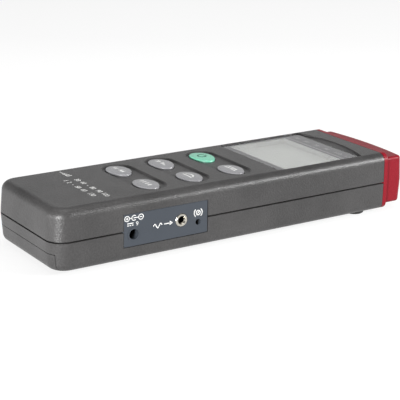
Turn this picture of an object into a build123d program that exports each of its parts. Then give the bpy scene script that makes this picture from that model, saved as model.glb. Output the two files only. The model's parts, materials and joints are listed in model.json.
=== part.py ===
from build123d import *
import os
from math import radians, tan

os.makedirs("parts", exist_ok=True)

# Hand-held sound level meter lying on its back: +X is the connector side, +Y points to the
# microphone, +Z up. The origin is the centre of the bounding box, on the plane the feet stand on.
# All sizes are in millimetres.

# --- Driving dimensions ---------------------------------------------------------------------
OVERALL_LENGTH = 248.0      # battery end face to microphone grid
WIDTH = 70.0                # at the parting line
BODY_HEIGHT = 33.3          # underside to front face, without the feet
FOOT_HEIGHT = 2.0
PARTING_HEIGHT = 16.15      # parting line above the underside
HOUSING_LENGTH = 214.3      # battery end face to the end cap
WALL = 2.4                  # moulded wall of both shells
SIDE_DRAFT = 1.0            # degrees
END_DRAFT = 4.4             # the battery end leans in both ways from the parting line
CORNER_R = 9.8              # plan radius of the two battery end corners
FRONT_EDGE_R = 5.0          # round between the front face and the walls
BACK_EDGE_R = 4.0           # round between the underside and the walls
GAP = 0.3                   # play between moulded parts
SHADOW_GAP = 0.9            # visible groove along the parting line

BODY_Z = FOOT_HEIGHT
PARTING_Z = BODY_Z + PARTING_HEIGHT
FRONT_Z = BODY_Z + BODY_HEIGHT
CEILING_Z = FRONT_Z - WALL


def along(distance):
    """Y of a point that lies this far from the battery end face."""
    return distance - OVERALL_LENGTH / 2


def height(distance):
    """Z of a point that lies this far above the underside of the housing."""
    return BODY_Z + distance


# --- Shared layout: things that several parts must agree on ---------------------------------
KEY_X = 14.6
KEY_ROWS = (along(65.4), along(92.75), along(120.1))
KEY_SEMI_X, KEY_SEMI_Y = 9.4, 6.3
KEY_PLAY = 0.35
ROW_RECESS = (52.4, 18.4)            # dished recess round each pair of keys
ROW_RECESS_SHIFT = 1.0               # its centre lies this far beyond the keys' centres
ROW_RECESS_DEPTH = 1.0

WINDOW_X = 30.3                      # half width of the display recess
WINDOW_NEAR, LENS_FAR, WINDOW_FAR = along(142.0), along(200.0), along(206.0)
WINDOW_ARC_END = along(200.6)        # where the far arc meets the recess sides
LENS_DROP = 0.8                      # lens surface below the front face
LENS_THICKNESS = 1.5
LENS_SEAT_Z = FRONT_Z - LENS_DROP - LENS_THICKNESS
FRAME_Z = FRONT_Z - 4.2              # underside of the thickened window frame
VIEW_X = 27.2                        # half width of the visible display
VIEW_NEAR, VIEW_FAR = along(148.2), along(187.9)
BEZEL_WALL = 1.7
LCD_TOP_Z = FRONT_Z - 5.3

BOARD_TOP_Z = height(22.2)
BOARD_THICKNESS = 1.6
BOARD_Z = BOARD_TOP_Z - BOARD_THICKNESS
BOARD_NEAR, BOARD_FAR = along(37.0), along(202.0)
BOARD_X = 30.6

PANEL_NEAR, PANEL_FAR = along(40.0), along(92.0)
PANEL_LOW, PANEL_HIGH = height(7.35), height(25.5)
PANEL_FACE_X = WIDTH / 2 - 0.25
PANEL_THICKNESS = 2.5
PANEL_FLANGE = 1.2
PANEL_BACK_X = PANEL_FACE_X - PANEL_THICKNESS - PANEL_FLANGE
DC_Y, DC_Z, DC_HOLE_R = along(46.2), height(14.1), 2.8
OUTPUT_Y, OUTPUT_Z, OUTPUT_RING_R, OUTPUT_BORE_R = along(75.4), height(16.8), 3.65, 1.8
CAL_Y, CAL_Z, CAL_HOLE_R = along(85.8), height(14.1), 1.65

CASE_SCREWS = [(-27.0, along(61.0)), (27.0, along(61.0)), (-13.0, along(206.5)), (13.0, along(206.5))]
BOARD_SCREWS = [(-8.0, along(42.0)), (8.0, along(42.0)), (-27.3, along(136.0)),
                (27.3, along(136.0)), (-20.0, along(198.0)), (20.0, along(198.0))]
NEAR_FEET = [(-20.0, along(47.0)), (20.0, along(47.0))]
FAR_FEET = [(-25.0, along(201.0)), (25.0, along(201.0))]
FOOT_R = 5.75
FOOT_RECESS = 0.6
TRIPOD_XY = (0.0, along(106.0))

COVER_X = 30.75                      # half width of the battery cover
COVER_LENGTH = 36.0
COVER_TOP_Z = height(9.3)
BATTERY_SIZE = (48.5, 26.5, 17.5)    # 6LR61 block, lying across the housing
BATTERY_CENTRE = (-1.3, along(18.25))
TONGUE_LOW, TONGUE_TOP = height(2.7), height(3.7)    # tongues of the cover, over the floor
BATTERY_Z = TONGUE_TOP + GAP                         # they slide out below the battery
FOAM_THICKNESS = 0.8
ROOF_Z = BATTERY_Z + BATTERY_SIZE[2] + FOAM_THICKNESS
ROOF_THICKNESS = 1.2
COMPARTMENT_INSET = 3.6              # outside of the battery box, from the housing outline
COMPARTMENT_WALL = 1.1
COMPARTMENT_LENGTH = 32.9

CAP_Y = along(HOUSING_LENGTH + 0.25)
CAP_FLANGE = 2.5
NOSE_INSET = 1.5
NOSE_LOW, NOSE_HIGH = height(2.5), height(30.3)
NOSE_FRONT = along(231.7)            # at the middle of the bow
NOSE_SIDE_FRONT = along(229.1)       # where the bow meets the sides
NOSE_DRAFT = 3.0                     # degrees: the bowed front leans in from the parting plane
MIC_Z = PARTING_Z
MIC_R = 6.35                         # half-inch microphone barrel
MIC_STEM_R = 6.0                     # its stem, inside the collar and the end cap
MIC_TIP = along(OVERALL_LENGTH)


def block(x0, x1, y0, y1, z0, z1, mode=Mode.ADD):
    """A box between two corners."""
    with BuildSketch(Plane.XY.offset(z0), mode=Mode.PRIVATE) as base:
        with Locations(((x0 + x1) / 2, (y0 + y1) / 2)):
            Rectangle(x1 - x0, y1 - y0)
    extrude(base.sketch, amount=z1 - z0, mode=mode)


def side_block(side, inner, outer, y0, y1, z0, z1):
    """A box between two distances from the centre line, on the side that the sign gives."""
    block(*sorted((side * inner, side * outer)), y0, y1, z0, z1)


def post(x, y, z0, z1, radius, mode=Mode.ADD):
    """An upright round post, or a round hole."""
    with BuildSketch(Plane.XY.offset(z0), mode=Mode.PRIVATE) as base:
        with Locations((x, y)):
            Circle(radius)
    extrude(base.sketch, amount=z1 - z0, mode=mode)


def across(x0, x1, y, z, radius, mode=Mode.ADD):
    """A round bar or hole along X."""
    with BuildSketch(Plane.YZ.offset(x0), mode=Mode.PRIVATE) as base:
        with Locations((y, z)):
            Circle(radius)
    extrude(base.sketch, amount=x1 - x0, mode=mode)


def plan_outline(inset, end_inset, length):
    """Housing outline seen from above, moved inwards, with its two rounded battery end corners."""
    with BuildSketch(mode=Mode.PRIVATE) as outline:
        with Locations((0, along(end_inset))):
            Rectangle(WIDTH - 2 * inset, length - end_inset, align=(Align.CENTER, Align.MIN))
        fillet(outline.vertices().sort_by(Axis.Y)[:2], CORNER_R - inset)
    return outline.sketch


def turn(points, mode=Mode.ADD):
    """A body of revolution about the microphone axis, from (distance along Y, radius) points."""
    with BuildSketch(Plane.YZ, mode=Mode.PRIVATE) as half:
        with BuildLine():
            Polyline(*[(y, MIC_Z + r) for y, r in points], close=True)
        make_face()
    revolve(half.sketch, axis=Axis((0, 0, MIC_Z), (0, 1, 0)), mode=mode)


def shell_form(side, inset, start=0.0):
    """Solid form of one housing half, grown from the parting plane: side +1 up, -1 down."""
    depth = (BODY_HEIGHT - PARTING_HEIGHT if side > 0 else PARTING_HEIGHT) - inset - start
    edge_r = (FRONT_EDGE_R if side > 0 else BACK_EDGE_R) - inset
    neutral = Plane.XY.offset(PARTING_Z + side * start)
    overrun = 1.0 if inset else 0.0
    with BuildPart() as form:
        with BuildSketch(neutral):
            with Locations((0, along(inset))):
                Rectangle(WIDTH - 2 * inset, HOUSING_LENGTH - inset + overrun,
                          align=(Align.CENTER, Align.MIN))
        extrude(amount=depth, dir=(0, 0, side))
        draft(form.faces().filter_by(Axis.X), neutral, side * SIDE_DRAFT)
        draft(form.faces().sort_by(Axis.Y)[0], neutral, side * END_DRAFT)
        corners = form.edges().filter_by(lambda e: abs((e % 0.5).Z) > 0.9).sort_by(Axis.Y)[:2]
        fillet(corners, CORNER_R - inset)
        rim = form.faces().sort_by(Axis.Z)[-1 if side > 0 else 0].edges().sort_by(Axis.Y)[:-1]
        fillet(rim, edge_r)
    return form.part


def housing_section(inset):
    """Outline of the housing across its length, with both halves' drafts and edge rounds."""
    lean_up = (BODY_HEIGHT - PARTING_HEIGHT) * tan(radians(SIDE_DRAFT))
    lean_down = PARTING_HEIGHT * tan(radians(SIDE_DRAFT))
    half = WIDTH / 2 - inset
    with BuildSketch(mode=Mode.PRIVATE) as outline:
        with BuildLine():
            Polyline((-half, PARTING_Z), (-half + lean_up, FRONT_Z - inset),
                     (half - lean_up, FRONT_Z - inset), (half, PARTING_Z),
                     (half - lean_down, BODY_Z + inset), (-half + lean_down, BODY_Z + inset),
                     close=True)
        make_face()
        fillet(outline.vertices().sort_by(Axis.Y)[-2:], max(FRONT_EDGE_R - inset, 0.8))
        fillet(outline.vertices().sort_by(Axis.Y)[:2], max(BACK_EDGE_R - inset, 0.8))
    return outline.sketch


# --- Front half of the housing --------------------------------------------------------------
def row_recess(y, depth_extra=0.0):
    """Shallow stadium-shaped dish round one pair of keys, with sloping walls."""
    length, width = ROW_RECESS
    with BuildPart() as dish:
        with BuildSketch(Plane.XY.offset(FRONT_Z - ROW_RECESS_DEPTH)):
            with Locations((0, y + ROW_RECESS_SHIFT)):
                SlotOverall(length - 2 * ROW_RECESS_DEPTH, width - 2 * ROW_RECESS_DEPTH)
        with BuildSketch(Plane.XY.offset(FRONT_Z + 0.01)):
            with Locations((0, y + ROW_RECESS_SHIFT)):
                SlotOverall(length, width)
        loft(ruled=True)
    return dish.part


def window_outline(near, side, arc_end, far):
    """Display window outline: straight near edge and sides, arched far edge."""
    with BuildSketch(mode=Mode.PRIVATE) as outline:
        with BuildLine():
            Line((-side, arc_end), (-side, near))
            Line((-side, near), (side, near))
            Line((side, near), (side, arc_end))
            ThreePointArc((side, arc_end), (0, far), (-side, arc_end))
        make_face()
        fillet(outline.vertices().sort_by(Axis.Y)[:2], 2.0)
    return outline.sketch


with BuildPart() as top_shell:
    add(shell_form(+1, 0.0, SHADOW_GAP / 2))
    add(shell_form(+1, WALL, SHADOW_GAP / 2), mode=Mode.SUBTRACT)
    # Ceiling thickened into a frame round the display window.
    block(-31.8, 31.8, WINDOW_NEAR - 2.5, WINDOW_FAR + 2.0, FRAME_Z, CEILING_Z + 0.2)
    # Seat of the lens, and the sloped crescent between the lens and the arched far edge.
    with BuildSketch(Plane.XY.offset(LENS_SEAT_Z)):
        with Locations((0, (WINDOW_NEAR + LENS_FAR) / 2)):
            RectangleRounded(2 * WINDOW_X, LENS_FAR - WINDOW_NEAR, 2.0)
    extrude(amount=BODY_HEIGHT, mode=Mode.SUBTRACT)
    with BuildPart(mode=Mode.PRIVATE) as crescent:
        with BuildSketch(Plane.XY.offset(LENS_SEAT_Z)):
            add(window_outline(WINDOW_NEAR + 20.0, WINDOW_X, WINDOW_ARC_END, WINDOW_FAR))
        extrude(amount=LENS_DROP + LENS_THICKNESS + 1.0)
        with BuildSketch(Plane.YZ.offset(-WIDTH / 2)):
            with BuildLine():
                Polyline((LENS_FAR - 60.0, LENS_SEAT_Z - 1.0), (WINDOW_FAR + 1.0, LENS_SEAT_Z - 1.0),
                         (WINDOW_FAR + 1.0, FRONT_Z - 0.35), (LENS_FAR, FRONT_Z - LENS_DROP - 0.7),
                         (LENS_FAR - 60.0, FRONT_Z - LENS_DROP - 0.7), close=True)
            make_face()
        extrude(amount=WIDTH, mode=Mode.SUBTRACT)
    add(crescent.part, mode=Mode.SUBTRACT)
    # Opening for the display bezel.
    block(-VIEW_X - BEZEL_WALL - 0.2, VIEW_X + BEZEL_WALL + 0.2,
          VIEW_NEAR - BEZEL_WALL - 0.2, VIEW_FAR + BEZEL_WALL + 0.2,
          FRAME_Z - 1.0, FRONT_Z, mode=Mode.SUBTRACT)
    # Key recesses and the six key openings.
    for row_y in KEY_ROWS:
        add(row_recess(row_y), mode=Mode.SUBTRACT)
        with BuildSketch(Plane.XY.offset(CEILING_Z - 1.0)):
            with Locations((-KEY_X, row_y), (KEY_X, row_y)):
                Ellipse(KEY_SEMI_X + KEY_PLAY, KEY_SEMI_Y + KEY_PLAY)
        extrude(amount=WALL + 1.5, mode=Mode.SUBTRACT)
    # Posts for the case screws and the board screws, with their pilot holes.
    for x, y in CASE_SCREWS:
        post(x, y, PARTING_Z + SHADOW_GAP / 2, CEILING_Z + 0.2, 3.3)
        post(x, y, PARTING_Z, CEILING_Z - 4.0, 1.25, mode=Mode.SUBTRACT)
    for x, y in BOARD_SCREWS:
        post(x, y, BOARD_TOP_Z, CEILING_Z + 0.05, 2.6)
        post(x, y, BOARD_TOP_Z - 0.1, BOARD_TOP_Z + 5.0, 1.05, mode=Mode.SUBTRACT)
    # Stiffening ribs across the ceiling between the battery end and the first key row.
    for distance in (20.0, 34.0, 50.0):
        block(-26.0, 26.0, along(distance), along(distance + 1.2), CEILING_Z - 2.5, CEILING_Z + 0.2)
    # Opening for the connector panel.
    block(WIDTH / 2 - WALL - 1.5, WIDTH / 2 + 1.0, PANEL_NEAR, PANEL_FAR,
          PARTING_Z - 1.0, PANEL_HIGH, mode=Mode.SUBTRACT)
top_shell.part.label = "top_shell"
export_step(top_shell.part, "parts/top_shell.step")


# --- Back half of the housing ---------------------------------------------------------------
LIP_INSET = WALL + 0.15
LIP_END_INSET = WALL + 0.45
LIP_THICKNESS = 1.0
LIP_HEIGHT = 1.6
LIP_ROOT_Z = PARTING_Z - 3.0
LIP_LENGTH = HOUSING_LENGTH - 5.0
RAIL_LOW, RAIL_HIGH = height(2.75), height(4.15)
RAIL_X = 29.0
HOOK_START = 9.0                     # rails and hooks begin this far from the battery end
BOX_FOOT_Z = height(6.2)
SCREW_SEAT_Z = height(7.0)
INSERT_R, INSERT_TOP_Z = 4.5, height(9.2)

with BuildPart() as bottom_shell:
    add(shell_form(-1, 0.0, SHADOW_GAP / 2))
    add(shell_form(-1, WALL, SHADOW_GAP / 2), mode=Mode.SUBTRACT)
    # Lip that locates the front half and closes the shadow gap from inside.
    with BuildSketch(Plane.XY.offset(LIP_ROOT_Z)):
        add(plan_outline(WALL - 0.3, WALL - 0.3, LIP_LENGTH))
        add(plan_outline(LIP_INSET + LIP_THICKNESS, LIP_END_INSET + LIP_THICKNESS, HOUSING_LENGTH),
            mode=Mode.SUBTRACT)
    extrude(amount=PARTING_Z - SHADOW_GAP / 2 - LIP_ROOT_Z)
    with BuildSketch(Plane.XY.offset(LIP_ROOT_Z)):
        add(plan_outline(LIP_INSET, LIP_END_INSET, LIP_LENGTH))
        add(plan_outline(LIP_INSET + LIP_THICKNESS, LIP_END_INSET + LIP_THICKNESS, HOUSING_LENGTH),
            mode=Mode.SUBTRACT)
    extrude(amount=PARTING_Z + LIP_HEIGHT - LIP_ROOT_Z)
    # Opening for the battery cover, wrapping from the underside up the end face.
    block(-COVER_X - GAP, COVER_X + GAP, along(-1.0), along(COVER_LENGTH + GAP),
          BODY_Z - 1.0, COVER_TOP_Z + GAP, mode=Mode.SUBTRACT)
    # Battery box: a walled, roofed compartment tied to the end band and the side walls.
    with BuildPart(mode=Mode.PRIVATE) as battery_box:
        with BuildSketch(Plane.XY.offset(BOX_FOOT_Z)):
            add(plan_outline(COMPARTMENT_INSET, COMPARTMENT_INSET, COMPARTMENT_LENGTH))
        extrude(amount=ROOF_Z + ROOF_THICKNESS - BOX_FOOT_Z)
        with BuildSketch(Plane.XY.offset(BOX_FOOT_Z - 0.1)):
            add(plan_outline(COMPARTMENT_INSET + COMPARTMENT_WALL, COMPARTMENT_INSET + COMPARTMENT_WALL,
                             COMPARTMENT_LENGTH - COMPARTMENT_WALL))
        extrude(amount=ROOF_Z - BOX_FOOT_Z + 0.1, mode=Mode.SUBTRACT)
        # Room for the end wall of the cover.
        block(-33.0, 33.0, along(WALL), along(8.6), BODY_Z, COVER_TOP_Z + GAP, mode=Mode.SUBTRACT)
    add(battery_box.part)
    block(-27.0, 27.0, along(WALL - 0.2), along(COMPARTMENT_INSET + 0.3), height(10.4), height(11.8))
    for side in (-1, 1):
        for distance in (11.0, 20.0, 29.0):
            side_block(side, 31.0, 33.0, along(distance), along(distance + 1.2),
                       BOX_FOOT_Z, PARTING_Z - 1.0)
        # Rails that the hooks of the battery cover run over.
        side_block(side, RAIL_X, 33.0, along(HOOK_START), along(COVER_LENGTH + 1.0),
                   RAIL_LOW, RAIL_HIGH)
    # Slots in the battery box through which the two contact strips pass to the board.
    block(23.9, 25.2, along(30.0), along(34.0), height(15.4), height(20.2), mode=Mode.SUBTRACT)
    # Guides that hold the contact plate upright in the battery box.
    for x0 in (22.75, 24.75):
        for y0, y1 in ((along(4.2), along(6.0)), (along(30.6), along(32.2))):
            block(x0, x0 + 0.35, y0, y1, BOX_FOOT_Z, ROOF_Z + 0.2)
    # Bosses for the case screws, counterbored from the underside.
    for x, y in CASE_SCREWS:
        post(x, y, BODY_Z + 1.0, PARTING_Z, 3.6)
        post(x, y, BODY_Z - 1.0, SCREW_SEAT_Z, 3.1, mode=Mode.SUBTRACT)
        post(x, y, SCREW_SEAT_Z - 1.0, PARTING_Z + 1.0, 1.6, mode=Mode.SUBTRACT)
    # Boss of the tripod insert.
    post(*TRIPOD_XY, BODY_Z + 1.0, height(11.6), 6.6)
    # Floor ribs, with four of them meeting the tripod boss.
    for x in (-16.0, 16.0):
        block(x - 0.6, x + 0.6, along(44.0), along(198.0), BODY_Z + 2.0, height(4.6))
    for distance in (76.0, 106.0, 136.0, 166.0):
        block(-31.0, 31.0, along(distance) - 0.6, along(distance) + 0.6, BODY_Z + 2.0, height(4.6))
    post(*TRIPOD_XY, BODY_Z - 1.0, INSERT_TOP_Z, INSERT_R, mode=Mode.SUBTRACT)
    # Seats of the rubber feet.
    for x, y in NEAR_FEET + FAR_FEET:
        post(x, y, BODY_Z - 1.0, BODY_Z + FOOT_RECESS, FOOT_R + 0.1, mode=Mode.SUBTRACT)
    # Opening for the connector panel, with room for its flange behind the lip.
    block(WIDTH / 2 - WALL - 1.5, WIDTH / 2 + 1.0, PANEL_NEAR, PANEL_FAR,
          PANEL_LOW, PARTING_Z + 3.0, mode=Mode.SUBTRACT)
    block(PANEL_BACK_X - 0.3, WIDTH / 2 - WALL - 0.35, PANEL_NEAR - 2.4, PANEL_FAR + 2.4,
          PANEL_LOW - 2.4, PARTING_Z + 3.0, mode=Mode.SUBTRACT)
bottom_shell.part.label = "bottom_shell"
export_step(bottom_shell.part, "parts/bottom_shell.step")


# --- Battery cover: slides off the battery end ----------------------------------------------
HOOK_X, HOOK_TOP = 28.5, height(5.85)
TONGUE_X, TONGUE_WIDTH, TONGUE_REACH = 16.0, 9.0, 3.5
SUPPORT_X = 9.0
GRIP_CENTRE = (0.0, along(14.0))
GRIP_SIZE = (26.0, 13.0)
GRIP_DEPTH = 0.8

with BuildPart() as battery_cover:
    add(shell_form(-1, 0.0, SHADOW_GAP / 2))
    add(shell_form(-1, WALL, SHADOW_GAP / 2), mode=Mode.SUBTRACT)
    block(-COVER_X, COVER_X, along(-1.0), along(COVER_LENGTH),
          BODY_Z - 1.0, COVER_TOP_Z, mode=Mode.INTERSECT)
    for side in (-1, 1):
        # Hook along each edge: an upright web with a flange that lies over the rail.
        side_block(side, HOOK_X - 1.3, HOOK_X, along(HOOK_START), along(COVER_LENGTH - 2.0),
                   BODY_Z + WALL - 0.2, HOOK_TOP)
        side_block(side, HOOK_X - 0.1, HOOK_X + 1.9, along(HOOK_START), along(COVER_LENGTH - 2.0),
                   RAIL_HIGH + 0.35, HOOK_TOP)
        # Tongue that reaches over the floor of the housing at the inner edge.
        tongue = (TONGUE_X - TONGUE_WIDTH / 2, TONGUE_X + TONGUE_WIDTH / 2)
        side_block(side, *tongue, along(COVER_LENGTH - TONGUE_REACH), along(COVER_LENGTH),
                   BODY_Z + WALL - 0.2, TONGUE_TOP)
        side_block(side, *tongue, along(COVER_LENGTH - TONGUE_REACH),
                   along(COVER_LENGTH + TONGUE_REACH), TONGUE_LOW, TONGUE_TOP)
    # Ribs that the battery rests on.
    for side in (-1, 1):
        side_block(side, SUPPORT_X, SUPPORT_X + 1.2, along(6.0), along(31.0),
                   BODY_Z + WALL - 0.2, BATTERY_Z - 0.05)
    # Thumb grip: a shallow slot with raised bars.
    with BuildSketch(Plane.XY.offset(BODY_Z - 0.01)):
        with Locations(GRIP_CENTRE):
            SlotOverall(*GRIP_SIZE)
    extrude(amount=GRIP_DEPTH, mode=Mode.SUBTRACT)
    with BuildSketch(Plane.XY.offset(BODY_Z)):
        with Locations(GRIP_CENTRE):
            with GridLocations(0, 2.6, 1, 4):
                SlotOverall(15.0, 1.1)
    extrude(amount=GRIP_DEPTH + 0.1)
battery_cover.part.label = "battery_cover"
export_step(battery_cover.part, "parts/battery_cover.step")


# --- Red end cap ----------------------------------------------------------------------------
CAP_WALL = 2.2
NOSE_WALL = 2.6
NOSE_HALF = WIDTH / 2 - NOSE_INSET
NOSE_ROOT = CAP_Y + CAP_FLANGE - 0.5
NOSE_CORNER_R = 2.8
NOSE_EDGE_R = 1.7
STEP_R = 1.3                         # hollow round between the flange and the nose
SPIGOT_LENGTH = 3.0
MIC_BOSS_R = 9.8


def nose_outline(inset, root):
    """Nose of the end cap seen from above: straight sides and a bowed front."""
    half = NOSE_HALF - inset
    with BuildSketch(mode=Mode.PRIVATE) as outline:
        with BuildLine():
            Polyline((half, NOSE_SIDE_FRONT - inset), (half, root), (-half, root),
                     (-half, NOSE_SIDE_FRONT - inset))
            ThreePointArc((-half, NOSE_SIDE_FRONT - inset), (0, NOSE_FRONT - inset),
                          (half, NOSE_SIDE_FRONT - inset))
        make_face()
    return outline.sketch


def nose_form(side):
    """Solid form of one half of the nose, grown from the parting plane: side +1 up, -1 down."""
    neutral = Plane.XY.offset(PARTING_Z)
    with BuildPart() as form:
        with BuildSketch(neutral):
            add(nose_outline(0.0, NOSE_ROOT))
        extrude(amount=NOSE_HIGH - PARTING_Z if side > 0 else PARTING_Z - NOSE_LOW, dir=(0, 0, side))
        draft(form.faces().filter_by(Axis.X), neutral, side * SIDE_DRAFT)
        draft(form.faces().filter_by(GeomType.CYLINDER), neutral, side * NOSE_DRAFT)
        corners = form.edges().filter_by(lambda e: abs((e % 0.5).Z) > 0.9).sort_by(Axis.Y)[-2:]
        fillet(corners, NOSE_CORNER_R)
        rim = form.faces().sort_by(Axis.Z)[-1 if side > 0 else 0].edges().sort_by(Axis.Y)[1:]
        fillet(rim, NOSE_EDGE_R)
    return form.part


with BuildPart() as end_cap:
    add(nose_form(+1))
    add(nose_form(-1))
    # Flange with the full section of the housing, blended into the nose.
    with BuildSketch(Plane.XZ.offset(-CAP_Y)):
        add(housing_section(0.0))
    extrude(amount=-CAP_FLANGE)
    step_y = CAP_Y + CAP_FLANGE
    step_edges = end_cap.edges().filter_by(lambda e: abs(e.center().Y - step_y) < 0.01)
    foot_of_nose = [e for e in step_edges if abs(e.center().X) < NOSE_HALF + 0.01
                    and NOSE_LOW - 0.01 < e.center().Z < NOSE_HIGH + 0.01]
    fillet(foot_of_nose, STEP_R)
    # Round boss on the front that the microphone collar sits against.
    turn([(NOSE_FRONT - NOSE_WALL, 0.0), (NOSE_FRONT - NOSE_WALL, MIC_BOSS_R), (NOSE_FRONT, MIC_BOSS_R),
          (NOSE_FRONT, 0.0)])
    # Hollow nose and flange.
    with BuildSketch(Plane.XY.offset(NOSE_LOW + CAP_WALL)) as cavity:
        add(nose_outline(NOSE_WALL, CAP_Y - 1.0))
        fillet(cavity.vertices().sort_by(Axis.Y)[-2:], 1.5)
    extrude(amount=NOSE_HIGH - NOSE_LOW - 2 * CAP_WALL, mode=Mode.SUBTRACT)
    # Spigot that fits inside both shells.
    with BuildSketch(Plane.XZ.offset(-CAP_Y - 0.5)):
        add(housing_section(WALL + 0.3))
        add(housing_section(WALL + 1.6), mode=Mode.SUBTRACT)
    extrude(amount=SPIGOT_LENGTH + 0.5)
    # Sleeve inside the nose that carries the microphone barrel.
    with BuildSketch(Plane.XZ.offset(-(NOSE_FRONT - NOSE_WALL - 6.0))):
        with Locations((0, MIC_Z)):
            Circle(MIC_STEM_R + 1.9)
    extrude(amount=-6.8)
    with BuildSketch(Plane.XZ.offset(-CAP_Y)):
        with Locations((0, MIC_Z)):
            Circle(MIC_STEM_R + 0.1)
    extrude(amount=-20.0, mode=Mode.SUBTRACT)
end_cap.part.label = "end_cap"
export_step(end_cap.part, "parts/end_cap.step")


# --- Connector panel ------------------------------------------------------------------------
PANEL_CENTRE = ((PANEL_NEAR + PANEL_FAR) / 2, (PANEL_LOW + PANEL_HIGH) / 2)
PANEL_SIZE = (PANEL_FAR - PANEL_NEAR - 2 * GAP / 2, PANEL_HIGH - PANEL_LOW - 2 * GAP / 2)
FERRULE_HOLE_R = OUTPUT_RING_R + 0.1

with BuildPart() as side_panel:
    with BuildSketch(Plane.YZ.offset(PANEL_FACE_X - PANEL_THICKNESS)):
        with Locations(PANEL_CENTRE):
            RectangleRounded(*PANEL_SIZE, 0.6)
    extrude(amount=PANEL_THICKNESS)
    chamfer(side_panel.faces().sort_by(Axis.X)[-1].edges(), 0.25)
    with BuildSketch(Plane.YZ.offset(PANEL_BACK_X)):
        with Locations(PANEL_CENTRE):
            RectangleRounded(PANEL_SIZE[0] + 4.0, PANEL_SIZE[1] + 4.0, 1.5)
    extrude(amount=PANEL_FLANGE)
    # Low rim round the power inlet.
    across(PANEL_FACE_X - 0.5, PANEL_FACE_X + 0.2, DC_Y, DC_Z, DC_HOLE_R + 0.9)
    across(PANEL_BACK_X - 1.0, PANEL_FACE_X + 1.0, DC_Y, DC_Z, DC_HOLE_R, mode=Mode.SUBTRACT)
    across(PANEL_BACK_X - 1.0, PANEL_FACE_X + 1.0, OUTPUT_Y, OUTPUT_Z, FERRULE_HOLE_R, mode=Mode.SUBTRACT)
    across(PANEL_BACK_X - 1.0, PANEL_FACE_X + 1.0, CAL_Y, CAL_Z, CAL_HOLE_R, mode=Mode.SUBTRACT)
side_panel.part.label = "side_panel"
export_step(side_panel.part, "parts/side_panel.step")


# --- Power inlet: moulded socket and its centre pin -----------------------------------------
JACK_FRONT_X = PANEL_BACK_X - 0.1
JACK_DEPTH = 13.0
JACK_BORE_DEPTH = 10.0

with BuildPart() as dc_jack_body:
    block(JACK_FRONT_X - JACK_DEPTH, JACK_FRONT_X, DC_Y - 4.4, DC_Y + 4.4, DC_Z - 4.4, BOARD_Z)
    fillet(dc_jack_body.edges().filter_by(Axis.X).group_by(Axis.Z)[0], 1.0)
    across(JACK_FRONT_X - JACK_BORE_DEPTH, JACK_FRONT_X + 1.0, DC_Y, DC_Z, DC_HOLE_R + 0.1,
           mode=Mode.SUBTRACT)
    across(JACK_FRONT_X - JACK_DEPTH - 1.0, JACK_FRONT_X, DC_Y, DC_Z, 1.05, mode=Mode.SUBTRACT)
dc_jack_body.part.label = "dc_jack_body"
export_step(dc_jack_body.part, "parts/dc_jack_body.step")

with BuildPart() as dc_jack_pin:
    across(JACK_FRONT_X - JACK_DEPTH - 0.4, JACK_FRONT_X - 1.5, DC_Y, DC_Z, 1.05)
    fillet(dc_jack_pin.faces().sort_by(Axis.X)[-1].edges(), 0.5)
dc_jack_pin.part.label = "dc_jack_pin"
export_step(dc_jack_pin.part, "parts/dc_jack_pin.step")


# --- Signal output: 3.5 mm socket with a plated ferrule -------------------------------------
FERRULE_FACE_X = WIDTH / 2
SOCKET_BACK_X = FERRULE_FACE_X - 15.0
FERRULE_MOUTH_R = 2.45

with BuildPart() as output_jack_body:
    block(SOCKET_BACK_X, JACK_FRONT_X, OUTPUT_Y - 3.9, OUTPUT_Y + 3.9, OUTPUT_Z - 3.6, BOARD_Z)
    fillet(output_jack_body.edges().filter_by(Axis.X).group_by(Axis.Z)[0], 0.8)
    across(SOCKET_BACK_X + 1.5, JACK_FRONT_X + 1.0, OUTPUT_Y, OUTPUT_Z, OUTPUT_BORE_R + 0.5,
           mode=Mode.SUBTRACT)
output_jack_body.part.label = "output_jack_body"
export_step(output_jack_body.part, "parts/output_jack_body.step")

with BuildPart() as output_jack_ferrule:
    across(PANEL_BACK_X, FERRULE_FACE_X, OUTPUT_Y, OUTPUT_Z, OUTPUT_RING_R)
    chamfer(output_jack_ferrule.faces().sort_by(Axis.X)[-1].edges(), 0.35)
    across(SOCKET_BACK_X + 2.0, PANEL_BACK_X + 0.1, OUTPUT_Y, OUTPUT_Z, OUTPUT_BORE_R + 0.45)
    across(SOCKET_BACK_X, FERRULE_FACE_X + 1.0, OUTPUT_Y, OUTPUT_Z, OUTPUT_BORE_R, mode=Mode.SUBTRACT)
    with Locations(Plane((FERRULE_FACE_X - 0.5, OUTPUT_Y, OUTPUT_Z), z_dir=(1, 0, 0))):
        Cone(OUTPUT_BORE_R, FERRULE_MOUTH_R, 1.02, mode=Mode.SUBTRACT)
output_jack_ferrule.part.label = "output_jack_ferrule"
export_step(output_jack_ferrule.part, "parts/output_jack_ferrule.step")


# --- Calibration trimmer --------------------------------------------------------------------
TRIMMER_HALF = 3.4
ROTOR_R, ROTOR_SHAFT_R = 1.55, 0.8
ROTOR_FACE_X = JACK_FRONT_X - 0.3

with BuildPart() as trimmer_body:
    block(JACK_FRONT_X - 7.5, JACK_FRONT_X, CAL_Y - TRIMMER_HALF, CAL_Y + TRIMMER_HALF,
          CAL_Z - TRIMMER_HALF, BOARD_Z)
    chamfer(trimmer_body.edges().filter_by(Axis.X), 0.4)
    across(ROTOR_FACE_X - 1.9, JACK_FRONT_X + 1.0, CAL_Y, CAL_Z, ROTOR_R + GAP, mode=Mode.SUBTRACT)
    across(ROTOR_FACE_X - 5.0, JACK_FRONT_X, CAL_Y, CAL_Z, ROTOR_SHAFT_R + 0.05, mode=Mode.SUBTRACT)
trimmer_body.part.label = "trimmer_body"
export_step(trimmer_body.part, "parts/trimmer_body.step")

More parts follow.
